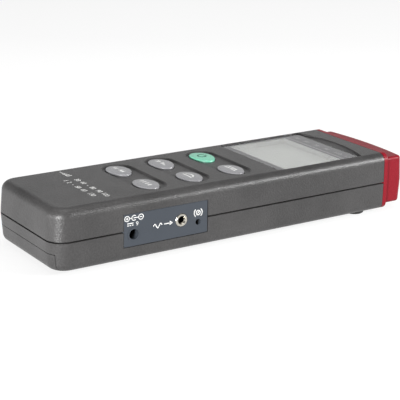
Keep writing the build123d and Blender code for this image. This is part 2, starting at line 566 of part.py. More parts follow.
with BuildPart() as trimmer_rotor:
    across(ROTOR_FACE_X - 1.5, ROTOR_FACE_X, CAL_Y, CAL_Z, ROTOR_R)
    across(ROTOR_FACE_X - 4.6, ROTOR_FACE_X - 1.5, CAL_Y, CAL_Z, ROTOR_SHAFT_R)
    block(ROTOR_FACE_X - 0.6, ROTOR_FACE_X + 1.0, CAL_Y - 2.0, CAL_Y + 2.0, CAL_Z - 0.25, CAL_Z + 0.25,
          mode=Mode.SUBTRACT)
trimmer_rotor.part.label = "trimmer_rotor"
export_step(trimmer_rotor.part, "parts/trimmer_rotor.step")


# --- Keys: domed elliptical caps, each with a captive flange and a plunger -------------------
KEY_NAMES = (("key_level", "key_hold"), ("key_response", "key_weighting"), ("key_power", "key_max"))
KEY_FLANGE = 0.9
KEY_RISE = 0.6                       # crown of the key above the front face
DOME_R = 60.0                        # radius of the crowned top
PLUNGER_Z = height(26.2)

for row_y, row_names in zip(KEY_ROWS, KEY_NAMES):
    for key_x, key_name in zip((-KEY_X, KEY_X), row_names):
        with BuildPart() as key:
            with BuildSketch(Plane.XY.offset(CEILING_Z - 0.3)):
                with Locations((key_x, row_y)):
                    Ellipse(KEY_SEMI_X, KEY_SEMI_Y)
            extrude(amount=FRONT_Z + KEY_RISE - CEILING_Z + 0.5)
            with Locations((key_x, row_y, FRONT_Z + KEY_RISE - DOME_R)):
                Sphere(DOME_R, mode=Mode.INTERSECT)
            fillet(key.faces().sort_by(Axis.Z)[-1].edges(), 0.7)
            with BuildSketch(Plane.XY.offset(CEILING_Z - 1.4)):
                with Locations((key_x, row_y)):
                    Ellipse(KEY_SEMI_X + KEY_FLANGE, KEY_SEMI_Y + KEY_FLANGE)
            extrude(amount=1.1)
            post(key_x, row_y, PLUNGER_Z, CEILING_Z - 1.3, 2.2)
        key.part.label = key_name
        export_step(key.part, f"parts/{key_name}.step")


# --- Silicone switch mat under the keys -----------------------------------------------------
MAT_THICKNESS = 1.0
DOME_HEIGHT = 1.8

with BuildPart() as keypad_mat:
    with BuildSketch(Plane.XY.offset(BOARD_TOP_Z)):
        with Locations((0, KEY_ROWS[1])):
            RectangleRounded(46.0, 72.0, 3.0)
    extrude(amount=MAT_THICKNESS)
    with Locations(*[(x, y, BOARD_TOP_Z + MAT_THICKNESS)
                     for x in (-KEY_X, KEY_X) for y in KEY_ROWS]):
        Cone(4.0, 2.6, DOME_HEIGHT, align=(Align.CENTER, Align.CENTER, Align.MIN))
keypad_mat.part.label = "keypad_mat"
export_step(keypad_mat.part, "parts/keypad_mat.step")


# --- Display: lens, bezel, glass, backlight and contact strips -------------------------------
with BuildPart() as display_lens:
    with BuildSketch(Plane.XY.offset(LENS_SEAT_Z)):
        with Locations((0, (WINDOW_NEAR + LENS_FAR) / 2)):
            RectangleRounded(2 * WINDOW_X - 0.3, LENS_FAR - WINDOW_NEAR - 0.3, 1.9)
    extrude(amount=LENS_THICKNESS)
    chamfer(display_lens.faces().sort_by(Axis.Z)[-1].edges(), 0.2)
display_lens.part.label = "display_lens"
export_step(display_lens.part, "parts/display_lens.step")

BEZEL_FLANGE = 0.9
BEZEL_CENTRE_Y = (VIEW_NEAR + VIEW_FAR) / 2
VIEW_SIZE = (2 * VIEW_X, VIEW_FAR - VIEW_NEAR)

with BuildPart() as lcd_bezel:
    with BuildSketch(Plane.XY.offset(LCD_TOP_Z + 0.1)):
        with Locations((0, BEZEL_CENTRE_Y)):
            Rectangle(VIEW_SIZE[0] + 2 * BEZEL_WALL, VIEW_SIZE[1] + 2 * BEZEL_WALL)
            Rectangle(*VIEW_SIZE, mode=Mode.SUBTRACT)
    extrude(amount=LENS_SEAT_Z - 0.1 - LCD_TOP_Z - 0.1)
    with BuildSketch(Plane.XY.offset(LCD_TOP_Z + 0.1)):
        with Locations((0, BEZEL_CENTRE_Y)):
            Rectangle(VIEW_SIZE[0] + 7.0, VIEW_SIZE[1] + 7.0)
            Rectangle(*VIEW_SIZE, mode=Mode.SUBTRACT)
    extrude(amount=BEZEL_FLANGE)
lcd_bezel.part.label = "lcd_bezel"
export_step(lcd_bezel.part, "parts/lcd_bezel.step")

GLASS_SHEET = 1.1
GLASS_Z = LCD_TOP_Z - 2 * GLASS_SHEET
with BuildPart() as lcd_glass:
    with BuildSketch(Plane.XY.offset(GLASS_Z)):
        with Locations((0, BEZEL_CENTRE_Y)):
            Rectangle(60.0, 47.0)
    extrude(amount=GLASS_SHEET)
    with BuildSketch(Plane.XY.offset(GLASS_Z + GLASS_SHEET)):
        with Locations((0, BEZEL_CENTRE_Y)):
            Rectangle(60.0, 42.5)
    extrude(amount=GLASS_SHEET)
lcd_glass.part.label = "lcd_glass"
export_step(lcd_glass.part, "parts/lcd_glass.step")

with BuildPart() as lcd_backlight:
    with BuildSketch(Plane.XY.offset(BOARD_TOP_Z + 0.1)):
        with Locations((0, BEZEL_CENTRE_Y)):
            RectangleRounded(58.0, 41.0, 1.0)
    extrude(amount=GLASS_Z - BOARD_TOP_Z - 0.2)
lcd_backlight.part.label = "lcd_backlight"
export_step(lcd_backlight.part, "parts/lcd_backlight.step")

with BuildPart() as contact_strips:
    for y in (BEZEL_CENTRE_Y - 22.2, BEZEL_CENTRE_Y + 22.2):
        block(-27.0, 27.0, y - 1.0, y + 1.0, BOARD_TOP_Z, GLASS_Z)
contact_strips.part.label = "contact_strips"
export_step(contact_strips.part, "parts/contact_strips.step")


# --- Main board and what is soldered to it ---------------------------------------------------
with BuildPart() as main_board:
    with BuildSketch(Plane.XY.offset(BOARD_Z)):
        with Locations((0, BOARD_NEAR)):
            Rectangle(2 * BOARD_X, BOARD_FAR - BOARD_NEAR, align=(Align.CENTER, Align.MIN))
        with Locations(*[p for p in CASE_SCREWS if p[1] < 0]):
            Circle(4.3, mode=Mode.SUBTRACT)
        with Locations(*BOARD_SCREWS):
            Circle(1.3, mode=Mode.SUBTRACT)
    extrude(amount=BOARD_THICKNESS)
main_board.part.label = "main_board"
export_step(main_board.part, "parts/main_board.step")

CHIP_HEIGHT = 1.6
with BuildPart() as main_chip:
    block(-7.0, 7.0, along(113.0), along(127.0), BOARD_Z - CHIP_HEIGHT, BOARD_Z)
    chamfer(main_chip.faces().sort_by(Axis.Z)[0].edges(), 0.3)
main_chip.part.label = "main_chip"
export_step(main_chip.part, "parts/main_chip.step")

with BuildPart() as amplifier_chips:
    for x, distance in ((-14.0, 160.0), (2.0, 160.0), (-14.0, 174.0), (2.0, 174.0)):
        block(x, x + 9.9, along(distance), along(distance + 3.9), BOARD_Z - CHIP_HEIGHT, BOARD_Z)
amplifier_chips.part.label = "amplifier_chips"
export_step(amplifier_chips.part, "parts/amplifier_chips.step")

with BuildPart() as capacitors:
    for x, distance in ((-18.0, 60.0), (-18.0, 70.0), (-9.0, 60.0), (0.0, 66.0)):
        post(x, along(distance), BOARD_Z - 7.0, BOARD_Z, 3.15)
    fillet(capacitors.faces().group_by(Axis.Z)[0].edges(), 0.6)
capacitors.part.label = "capacitors"
export_step(capacitors.part, "parts/capacitors.step")

with BuildPart() as quartz_crystal:
    with BuildSketch(Plane.XY.offset(BOARD_Z - 3.5)):
        with Locations((14.0, along(128.0))):
            SlotOverall(11.0, 4.6)
    extrude(amount=3.5)
quartz_crystal.part.label = "quartz_crystal"
export_step(quartz_crystal.part, "parts/quartz_crystal.step")


# --- Block battery across the end of the housing ---------------------------------------------
CAN_LENGTH = 46.0
TERMINAL_HEIGHT = BATTERY_SIZE[0] - CAN_LENGTH
CAN_X0 = BATTERY_CENTRE[0] - BATTERY_SIZE[0] / 2
CAN_X1 = CAN_X0 + CAN_LENGTH
TERMINAL_X = CAN_X1 + TERMINAL_HEIGHT
CELL_Z = BATTERY_Z + BATTERY_SIZE[2] / 2
TERMINAL_PITCH = 12.7
POSITIVE_Y = BATTERY_CENTRE[1] - TERMINAL_PITCH / 2
NEGATIVE_Y = BATTERY_CENTRE[1] + TERMINAL_PITCH / 2

with BuildPart() as battery:
    with BuildSketch(Plane.YZ.offset(CAN_X0)):
        with Locations((BATTERY_CENTRE[1], CELL_Z)):
            RectangleRounded(BATTERY_SIZE[1], BATTERY_SIZE[2], 2.6)
    extrude(amount=CAN_LENGTH)
    fillet(battery.faces().filter_by(Axis.X).edges(), 0.5)
battery.part.label = "battery"
export_step(battery.part, "parts/battery.step")

with BuildPart() as battery_terminals:
    across(CAN_X1, TERMINAL_X, POSITIVE_Y, CELL_Z, 2.8)
    with BuildSketch(Plane.YZ.offset(CAN_X1)):
        with Locations((NEGATIVE_Y, CELL_Z)):
            RegularPolygon(4.3, 6)
            Circle(2.9, mode=Mode.SUBTRACT)
    extrude(amount=TERMINAL_HEIGHT)
battery_terminals.part.label = "battery_terminals"
export_step(battery_terminals.part, "parts/battery_terminals.step")

FOAM_Z = BATTERY_Z + BATTERY_SIZE[2]
with BuildPart() as battery_foam_pad:
    with BuildSketch(Plane.XY.offset(FOAM_Z)):
        with Locations(((CAN_X0 + CAN_X1) / 2, BATTERY_CENTRE[1])):
            RectangleRounded(34.0, 16.0, 1.0)
    extrude(amount=FOAM_THICKNESS)
battery_foam_pad.part.label = "battery_foam_pad"
export_step(battery_foam_pad.part, "parts/battery_foam_pad.step")

PLATE_X0, PLATE_X1 = 23.15, 24.15
PLATE_HALF = 12.3
STRIP_X0, STRIP_X1 = 24.2, 24.6
CUP_WALL = 0.6
with BuildPart() as contact_plate:
    with BuildSketch(Plane.YZ.offset(PLATE_X0)):
        with Locations((BATTERY_CENTRE[1], height(12.6))):
            RectangleRounded(2 * PLATE_HALF, 12.4, 1.0)
        with Locations((POSITIVE_Y, CELL_Z), (NEGATIVE_Y, CELL_Z)):
            Circle(1.2, mode=Mode.SUBTRACT)
    extrude(amount=PLATE_X1 - PLATE_X0)
contact_plate.part.label = "contact_plate"
export_step(contact_plate.part, "parts/contact_plate.step")


def contact_strip(y, strip_low, board_y):
    """Rivet tail, upright tab and strip that carries one battery contact to the board."""
    across(PLATE_X0 - 0.1, STRIP_X0 + 0.1, y, CELL_Z, 1.15)
    block(STRIP_X0, STRIP_X1, y - 1.5, y + 1.5, CELL_Z - 1.5, strip_low + 1.4)
    block(STRIP_X0, STRIP_X1, y - 1.5, board_y + 0.5, strip_low, strip_low + 1.4)
    block(STRIP_X0, STRIP_X1, board_y - 0.5, board_y + 0.5, strip_low, BOARD_Z)


# The positive contact is a cup round the battery's stud, the negative one a stud in its cup.
with BuildPart() as battery_contact_positive:
    across(CAN_X1 + 0.4, PLATE_X0, POSITIVE_Y, CELL_Z, 2.85 + CUP_WALL)
    across(CAN_X1, TERMINAL_X + 0.05, POSITIVE_Y, CELL_Z, 2.85, mode=Mode.SUBTRACT)
    contact_strip(POSITIVE_Y, height(18.4), along(38.2))
battery_contact_positive.part.label = "battery_contact_positive"
export_step(battery_contact_positive.part, "parts/battery_contact_positive.step")

with BuildPart() as battery_contact_negative:
    across(CAN_X1 + 0.4, PLATE_X0, NEGATIVE_Y, CELL_Z, 2.7)
    contact_strip(NEGATIVE_Y, height(15.8), along(40.2))
battery_contact_negative.part.label = "battery_contact_negative"
export_step(battery_contact_negative.part, "parts/battery_contact_negative.step")


# --- Microphone on the nose ------------------------------------------------------------------
GRID_LENGTH = 6.6
GRID_Y = MIC_TIP - GRID_LENGTH
BARREL_Y = NOSE_FRONT - 13.0
BARREL_BORE_R = MIC_R - 1.0
COLLAR_R, COLLAR_LENGTH = 9.0, 3.2
SHOULDER_Y = NOSE_FRONT + COLLAR_LENGTH + 0.8
CAPSULE_R = BARREL_BORE_R - 0.1

with BuildPart() as microphone_barrel:
    turn([(BARREL_Y, BARREL_BORE_R), (BARREL_Y, MIC_STEM_R), (SHOULDER_Y, MIC_STEM_R),
          (SHOULDER_Y, MIC_R), (GRID_Y - 0.35, MIC_R), (GRID_Y - 0.35, MIC_R - 0.5),
          (GRID_Y, MIC_R - 0.5), (GRID_Y, BARREL_BORE_R)])
microphone_barrel.part.label = "microphone_barrel"
export_step(microphone_barrel.part, "parts/microphone_barrel.step")

# Knurled clamp ring: the flutes are cut round its rim.
with BuildPart() as microphone_collar:
    collar_y, collar_end = NOSE_FRONT + 0.05, NOSE_FRONT + COLLAR_LENGTH
    turn([(collar_y, MIC_STEM_R + 0.05), (collar_y, COLLAR_R), (collar_end - 0.6, COLLAR_R),
          (collar_end, COLLAR_R - 0.6), (collar_end, MIC_STEM_R + 0.05)])
    with BuildSketch(Plane.XZ.offset(-NOSE_FRONT)):
        with Locations((0, MIC_Z)):
            with PolarLocations(COLLAR_R + 0.25, 20):
                Circle(0.6)
    extrude(amount=-COLLAR_LENGTH - 0.5, mode=Mode.SUBTRACT)
microphone_collar.part.label = "microphone_collar"
export_step(microphone_collar.part, "parts/microphone_collar.step")

# Protection grid: a cap with a ring of slots round a centre hole.
with BuildPart() as microphone_grid:
    turn([(GRID_Y + 0.05, MIC_R - 0.8), (GRID_Y + 0.05, MIC_R), (MIC_TIP - 1.0, MIC_R),
          (MIC_TIP, MIC_R - 1.0), (MIC_TIP, 0.0), (MIC_TIP - 0.8, 0.0),
          (MIC_TIP - 0.8, MIC_R - 1.3), (MIC_TIP - 1.3, MIC_R - 0.8)])
    with BuildSketch(Plane.XZ.offset(-MIC_TIP + 2.0)):
        with Locations((0, MIC_Z)):
            Circle(0.7)
            with PolarLocations(3.3, 8):
                SlotOverall(2.8, 0.9)
    extrude(amount=-3.0, mode=Mode.SUBTRACT)
microphone_grid.part.label = "microphone_grid"
export_step(microphone_grid.part, "parts/microphone_grid.step")

DIAPHRAGM_Y = MIC_TIP - 2.6
with BuildPart() as microphone_diaphragm:
    turn([(DIAPHRAGM_Y, 0.0), (DIAPHRAGM_Y, CAPSULE_R), (DIAPHRAGM_Y + 0.3, CAPSULE_R),
          (DIAPHRAGM_Y + 0.3, 0.0)])
microphone_diaphragm.part.label = "microphone_diaphragm"
export_step(microphone_diaphragm.part, "parts/microphone_diaphragm.step")

CAPSULE_Y = DIAPHRAGM_Y - 6.5
with BuildPart() as microphone_capsule:
    turn([(CAPSULE_Y, 0.0), (CAPSULE_Y, CAPSULE_R), (DIAPHRAGM_Y, CAPSULE_R), (DIAPHRAGM_Y, CAPSULE_R - 0.9),
          (DIAPHRAGM_Y - 0.4, CAPSULE_R - 0.9), (DIAPHRAGM_Y - 0.4, 0.0)])
microphone_capsule.part.label = "microphone_capsule"
export_step(microphone_capsule.part, "parts/microphone_capsule.step")

INSULATOR_Y = CAPSULE_Y - 2.0
with BuildPart() as microphone_insulator:
    turn([(INSULATOR_Y, 0.85), (INSULATOR_Y, CAPSULE_R), (CAPSULE_Y, CAPSULE_R), (CAPSULE_Y, 0.85)])
microphone_insulator.part.label = "microphone_insulator"
export_step(microphone_insulator.part, "parts/microphone_insulator.step")

PREAMP_Y0, PREAMP_Y1 = along(196.5), INSULATOR_Y - 1.0
with BuildPart() as microphone_pin:
    turn([(PREAMP_Y1, 0.0), (PREAMP_Y1, 0.8), (CAPSULE_Y, 0.8), (CAPSULE_Y, 0.0)])
microphone_pin.part.label = "microphone_pin"
export_step(microphone_pin.part, "parts/microphone_pin.step")

# Preamplifier board: lies on the microphone axis, inside the barrel and back to the main board.
with BuildPart() as preamp_board:
    block(-4.9, 4.9, PREAMP_Y0, PREAMP_Y1 - 0.05, MIC_Z - 0.8, MIC_Z + 0.8)
preamp_board.part.label = "preamp_board"
export_step(preamp_board.part, "parts/preamp_board.step")

with BuildPart() as preamp_header:
    for x in (-2.54, 0.0, 2.54):
        block(x - 0.32, x + 0.32, PREAMP_Y0 + 2.0, PREAMP_Y0 + 2.64, MIC_Z + 0.8, BOARD_Z)
    block(-4.0, 4.0, PREAMP_Y0 + 1.1, PREAMP_Y0 + 3.5, MIC_Z + 0.9, MIC_Z + 3.2)
preamp_header.part.label = "preamp_header"
export_step(preamp_header.part, "parts/preamp_header.step")

with BuildPart() as amplifier_shield:
    block(-18.0, 16.0, along(157.0), along(181.0), BOARD_Z - 5.0, BOARD_Z)
    fillet(amplifier_shield.edges().filter_by(Axis.Z), 1.0)
    block(-17.5, 15.5, along(157.5), along(180.5), BOARD_Z - 4.5, BOARD_Z + 0.1, mode=Mode.SUBTRACT)
amplifier_shield.part.label = "amplifier_shield"
export_step(amplifier_shield.part, "parts/amplifier_shield.step")


# --- Fasteners, tripod insert and feet --------------------------------------------------------
def pan_screw(x, y, seat, head_r, head_height, shank_r, length):
    """Cross-recessed screw driven upwards: its head sits under the plane z = seat."""
    post(x, y, seat - head_height, seat, head_r)
    post(x, y, seat, seat + length, shank_r)
    arm, slot, depth = 0.62 * head_r, 0.22 * head_r, 0.6 * head_height
    bottom = seat - head_height
    block(x - arm, x + arm, y - slot / 2, y + slot / 2, bottom - 0.1, bottom + depth, mode=Mode.SUBTRACT)
    block(x - slot / 2, x + slot / 2, y - arm, y + arm, bottom - 0.1, bottom + depth, mode=Mode.SUBTRACT)


with BuildPart() as case_screws:
    for x, y in CASE_SCREWS:
        pan_screw(x, y, SCREW_SEAT_Z, 2.9, 2.2, 1.24, 18.0)
case_screws.part.label = "case_screws"
export_step(case_screws.part, "parts/case_screws.step")

with BuildPart() as board_screws:
    for x, y in BOARD_SCREWS:
        pan_screw(x, y, BOARD_Z, 2.1, 1.4, 1.04, 6.0)
board_screws.part.label = "board_screws"
export_step(board_screws.part, "parts/board_screws.step")

THREAD_R = 2.6                       # core of the 1/4 inch camera thread
INSERT_LENGTH = 7.0
with BuildPart() as tripod_insert:
    post(*TRIPOD_XY, BODY_Z + 0.1, BODY_Z + 0.1 + INSERT_LENGTH, INSERT_R - 0.02)
    chamfer(tripod_insert.faces().sort_by(Axis.Z)[-1].edges(), 0.5)
    post(*TRIPOD_XY, BODY_Z, height(9.0), THREAD_R, mode=Mode.SUBTRACT)
tripod_insert.part.label = "tripod_insert"
export_step(tripod_insert.part, "parts/tripod_insert.step")

FOOT_NAMES = ("foot_near_left", "foot_near_right", "foot_far_left", "foot_far_right")
for (x, y), foot_name in zip(NEAR_FEET + FAR_FEET, FOOT_NAMES):
    with BuildPart() as foot:
        post(x, y, 0.0, BODY_Z + FOOT_RECESS, FOOT_R)
        fillet(foot.faces().sort_by(Axis.Z)[0].edges(), 0.8)
    foot.part.label = foot_name
    export_step(foot.part, f"parts/{foot_name}.step")
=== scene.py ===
import json
import math

import bmesh
import bpy
from mathutils import Matrix, Vector


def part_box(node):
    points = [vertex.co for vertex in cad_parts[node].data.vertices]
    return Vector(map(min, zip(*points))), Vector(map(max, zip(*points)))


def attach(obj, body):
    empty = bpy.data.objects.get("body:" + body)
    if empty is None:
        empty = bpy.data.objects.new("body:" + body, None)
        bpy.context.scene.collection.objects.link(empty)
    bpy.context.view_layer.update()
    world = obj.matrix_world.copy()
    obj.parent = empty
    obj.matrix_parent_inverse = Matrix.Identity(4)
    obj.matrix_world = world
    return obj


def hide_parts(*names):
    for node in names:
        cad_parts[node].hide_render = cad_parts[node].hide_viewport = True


bl_info = {
    "name": "Sound level meter",
    "version": (1, 0, 0),
    "blender": (4, 5, 0),
    "location": "View3D > Sidebar > Meter",
    "description": "Finishes, display, marks, fasteners and studio of a sound level meter",
    "category": "Object",
}

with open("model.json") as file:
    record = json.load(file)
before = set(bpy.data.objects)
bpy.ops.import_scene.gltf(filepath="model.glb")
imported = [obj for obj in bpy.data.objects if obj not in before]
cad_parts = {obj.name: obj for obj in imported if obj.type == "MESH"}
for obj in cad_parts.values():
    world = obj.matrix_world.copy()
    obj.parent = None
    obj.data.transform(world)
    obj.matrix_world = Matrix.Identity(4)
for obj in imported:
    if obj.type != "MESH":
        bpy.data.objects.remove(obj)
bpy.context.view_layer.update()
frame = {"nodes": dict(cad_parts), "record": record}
MM = 0.001
HOUSING = "housing"                         # body of everything that stays still

CAMERA_PLACE = (0.60157, -0.40991, 0.24263)
CAMERA_TURN = (56.672, 17.547, 0.836)       # azimuth, elevation and roll, in degrees
SENSOR_WIDTH = 36.0                         # millimetres
AIM = (0.0, 0.0, 0.02)                      # the point that the lamps face
FLOOR_HALF = 4.0                            # half the side of the square floor
PAPER_SHADE, SHADOW_SHADE = 0.20, 0.30      # floor's matt share: as it lights, and as it is seen
PAPER_GLOW = 0.88                           # strength of the white that is added where it is seen
HORIZON, CEILING = 0.30, 0.15               # brightness of the room low down and high up
HORIZON_RISE, CEILING_RISE = 0.30, 0.50     # sines of elevation: end of one, start of the other
BACKDROP_RISE = 0.10                        # sine of the elevation of the backdrop's upper edge

WAVE_RADIANS = 20.0                         # a wave texture's phase per unit, at a scale of 1
FIGURE_SHARE = 0.73                         # height of a figure, as a share of its font size
LONGEST_CUT = 0.8                           # longest straight piece of a printed line, in mm
SHARPEST_MITRE = 0.4                        # cosine where the mitre of a line stops growing


# --- Small helpers --------------------------------------------------------------------------
def linear(hex_code):
    """Linear RGBA of an sRGB hex colour."""
    channels = [int(hex_code[i:i + 2], 16) / 255 for i in (1, 3, 5)]
    return [c / 12.92 if c <= 0.04045 else ((c + 0.055) / 1.055) ** 2.4 for c in channels] + [1.0]


def colour(name, description, hex_code):
    """A colour that the user may change."""
    return bpy.props.FloatVectorProperty(name=name, description=description, subtype="COLOR",
                                         size=4, min=0.0, max=1.0, default=linear(hex_code))


def length(name, description, millimetres):
    """A length that the user may change, kept in metres."""
    return bpy.props.FloatProperty(name=name, description=description, unit="LENGTH",
                                   min=0.0, precision=5, default=millimetres * MM)


def scaled(rgba, factor):
    """The colour made lighter or darker."""
    return [min(1.0, c * factor) for c in rgba[:3]] + [1.0]


def add_node(tree, kind, inputs=None, **settings):
    """Adds one node with its settings. Each input is given a value, or is linked to a socket or
    to the first output of a node."""
    node = tree.nodes.new(kind)
    for name, value in settings.items():
        setattr(node, name, value)
    for key, value in (inputs or {}).items():
        if isinstance(value, bpy.types.Node):
            value = value.outputs[0]
        if isinstance(value, bpy.types.NodeSocket):
            tree.links.new(value, node.inputs[key])
        else:
            node.inputs[key].default_value = value
    return node


def new_material(name):
    """An empty node material and its tree."""
    material = bpy.data.materials.new(name)
    material.use_nodes = True
    material.node_tree.nodes.clear()
    return material, material.node_tree


# --- Finishes -------------------------------------------------------------------------------
def moulded(name, base, grain, depth, roughness, ior=1.5, mottle=0.06, sheen=0.0, gloss=0.5):
    """Injection-moulded plastic or rubber: one colour right through, mottled, with the grain of
    the eroded mould on its skin, which breaks up the highlights. Grain and depth are in metres.
    The grain is drawn coarser than a real one, or it would not show. Mottle is how much lighter
    and darker the colour gets, and gloss is the skin's specular level."""
    cloud_size, uneven = 22 * MM, 0.04      # patches of the mottle, and spread of the roughness
    material, tree = new_material(name)
    place = add_node(tree, "ShaderNodeTexCoord").outputs["Object"]
    skin = add_node(tree, "ShaderNodeTexNoise", {
        "Vector": place, "Scale": 1.0 / grain, "Detail": 2.5, "Roughness": 0.65})
    cloud = add_node(tree, "ShaderNodeTexNoise", {
        "Vector": place, "Scale": 1.0 / cloud_size, "Detail": 3.0})
    tone = add_node(tree, "ShaderNodeMath", {0: skin, 1: cloud}, operation="ADD")
    tone = add_node(tree, "ShaderNodeMapRange", {"Value": tone, "From Min": 0.7, "From Max": 1.3})
    tint = add_node(tree, "ShaderNodeMix", {
        0: tone, 6: scaled(base, 1.0 - mottle), 7: scaled(base, 1.0 + mottle)},
        data_type="RGBA").outputs[2]
    bump = add_node(tree, "ShaderNodeBump", {
        "Height": skin, "Strength": 1.0, "Distance": depth})
    shader = add_node(tree, "ShaderNodeBsdfPrincipled", {
        "Base Color": tint, "IOR": ior, "Specular IOR Level": gloss, "Normal": bump,
        "Sheen Weight": sheen,
        "Roughness": add_node(tree, "ShaderNodeMapRange", {
            "Value": skin, "From Min": 0.3, "From Max": 0.7,
            "To Min": roughness - uneven, "To Max": roughness + uneven})})
    add_node(tree, "ShaderNodeOutputMaterial", {"Surface": shader})
    return material


def turned_metal(name, base, roughness, groove, axis):
    """Plated or bare metal with the fine rings that a lathe or a drawing die leaves, which draw
    the highlights out. Groove is their pitch over two pi, in metres, and axis the direction that
    they follow each other in. They are drawn coarser than real ones, or they would not show."""
    material, tree = new_material(name)
    place = add_node(tree, "ShaderNodeTexCoord").outputs["Object"]
    rings = add_node(tree, "ShaderNodeTexWave", {
        "Vector": place, "Scale": 1.0 / groove / WAVE_RADIANS, "Distortion": 1.5, "Detail": 2.0},
        wave_type="BANDS", bands_direction=axis).outputs["Fac"]
    stain = add_node(tree, "ShaderNodeTexNoise", {
        "Vector": place, "Scale": 1.0 / (3 * MM), "Detail": 4.0})
    bump = add_node(tree, "ShaderNodeBump", {
        "Height": rings, "Strength": 0.4, "Distance": 0.01 * MM})
    tint = add_node(tree, "ShaderNodeMix", {0: stain, 6: scaled(base, 0.88), 7: base},
                    data_type="RGBA").outputs[2]
    shader = add_node(tree, "ShaderNodeBsdfPrincipled", {
        "Base Color": tint, "Metallic": 1.0, "Normal": bump,
        "Roughness": add_node(tree, "ShaderNodeMapRange", {
            "Value": stain, "From Min": 0.3, "From Max": 0.7,
            "To Min": roughness - 0.05, "To Max": roughness + 0.08})})
    add_node(tree, "ShaderNodeOutputMaterial", {"Surface": shader})
    return material


def cast_acrylic(name, tint):
    """Clear acrylic sheet, polished both sides, with the faintest haze of handling."""
    material, tree = new_material(name)
    place = add_node(tree, "ShaderNodeTexCoord").outputs["Object"]
    haze = add_node(tree, "ShaderNodeTexNoise", {
        "Vector": place, "Scale": 1.0 / (9 * MM), "Detail": 4.0})
    shader = add_node(tree, "ShaderNodeBsdfPrincipled", {
        "Base Color": tint, "Transmission Weight": 1.0, "IOR": 1.49,
        "Roughness": add_node(tree, "ShaderNodeMapRange", {
            "Value": haze, "From Min": 0.35, "From Max": 0.75, "To Min": 0.0, "To Max": 0.03})})
    add_node(tree, "ShaderNodeOutputMaterial", {"Surface": shader})
    return material


def display_cell(name, face, edge):
    """Reflective liquid crystal cell: a grey-green polariser film over a silvered back, with the
    film's sparkle, drawn coarse enough to show."""
    material, tree = new_material(name)
    place = add_node(tree, "ShaderNodeTexCoord").outputs["Object"]
    sparkle = add_node(tree, "ShaderNodeTexNoise", {
        "Vector": place, "Scale": 1.0 / (0.5 * MM), "Detail": 1.0})
    share = add_node(tree, "ShaderNodeMapRange", {
        "Value": sparkle, "From Min": 0.3, "From Max": 0.7})
    tint = add_node(tree, "ShaderNodeMix", {0: share, 6: edge, 7: face},
                    data_type="RGBA").outputs[2]
    shader = add_node(tree, "ShaderNodeBsdfPrincipled", {
        "Base Color": tint, "IOR": 1.5, "Roughness": 0.35})
    add_node(tree, "ShaderNodeOutputMaterial", {"Surface": shader})
    return material


def printed_ink(name, base):
    """Pad-printed ink: an opaque matt film that covers a little unevenly."""
    material, tree = new_material(name)
    place = add_node(tree, "ShaderNodeTexCoord").outputs["Object"]
    cover = add_node(tree, "ShaderNodeTexNoise", {
        "Vector": place, "Scale": 1.0 / (0.8 * MM), "Detail": 3.0})
    tint = add_node(tree, "ShaderNodeMix", {0: cover, 6: scaled(base, 0.85), 7: base},
                    data_type="RGBA").outputs[2]
    shader = add_node(tree, "ShaderNodeBsdfPrincipled", {
        "Base Color": tint,
        "Roughness": add_node(tree, "ShaderNodeMapRange", {
            "Value": cover, "From Min": 0.3, "From Max": 0.7, "To Min": 0.5, "To Max": 0.7})})
    add_node(tree, "ShaderNodeOutputMaterial", {"Surface": shader})
    return material


def circuit_laminate(name, resist, copper):
    """Glass-epoxy board under green solder resist, with the copper tracks showing paler through
    it. Tracks lie 1.27 mm apart."""
    material, tree = new_material(name)
    place = add_node(tree, "ShaderNodeTexCoord").outputs["Object"]
    tracks = add_node(tree, "ShaderNodeTexBrick", {
        "Vector": place, "Scale": 1.0 / (1.27 * MM), "Mortar Size": 0.18, "Mortar Smooth": 0.1,
        "Brick Width": 9.0, "Row Height": 1.0}, offset=0.4).outputs["Fac"]
    tint = add_node(tree, "ShaderNodeMix", {0: tracks, 6: resist, 7: copper},
                    data_type="RGBA").outputs[2]
    shader = add_node(tree, "ShaderNodeBsdfPrincipled", {
        "Base Color": tint, "Roughness": 0.28,
        "Normal": add_node(tree, "ShaderNodeBump", {
            "Height": tracks, "Strength": 0.5, "Distance": 0.03 * MM})})
    add_node(tree, "ShaderNodeOutputMaterial", {"Surface": shader})
    return material


def printed_jacket(name, body, band, band_centre, band_width):
    """Lacquered steel jacket of a block battery, with one plain colour band across it."""
    material, tree = new_material(name)
    place = add_node(tree, "ShaderNodeTexCoord").outputs["Object"]
    along_x = add_node(tree, "ShaderNodeSeparateXYZ", {"Vector": place}).outputs["X"]
    off = add_node(tree, "ShaderNodeMath", {0: along_x, 1: band_centre}, operation="SUBTRACT")
    away = add_node(tree, "ShaderNodeMath", {0: off}, operation="ABSOLUTE")
    half, soft_edge = band_width / 2, 0.1 * MM
    inside = add_node(tree, "ShaderNodeMapRange", {
        "Value": away, "From Min": half - soft_edge, "From Max": half,
        "To Min": 1.0, "To Max": 0.0})
    scuff = add_node(tree, "ShaderNodeTexNoise", {
        "Vector": place, "Scale": 1.0 / (2 * MM), "Detail": 5.0})
    tint = add_node(tree, "ShaderNodeMix", {0: inside, 6: body, 7: band},
                    data_type="RGBA").outputs[2]
    shader = add_node(tree, "ShaderNodeBsdfPrincipled", {
        "Base Color": tint, "Metallic": 0.35,
        "Roughness": add_node(tree, "ShaderNodeMapRange", {
            "Value": scuff, "From Min": 0.35, "From Max": 0.7, "To Min": 0.22, "To Max": 0.4})})
    add_node(tree, "ShaderNodeOutputMaterial", {"Surface": shader})
    return material


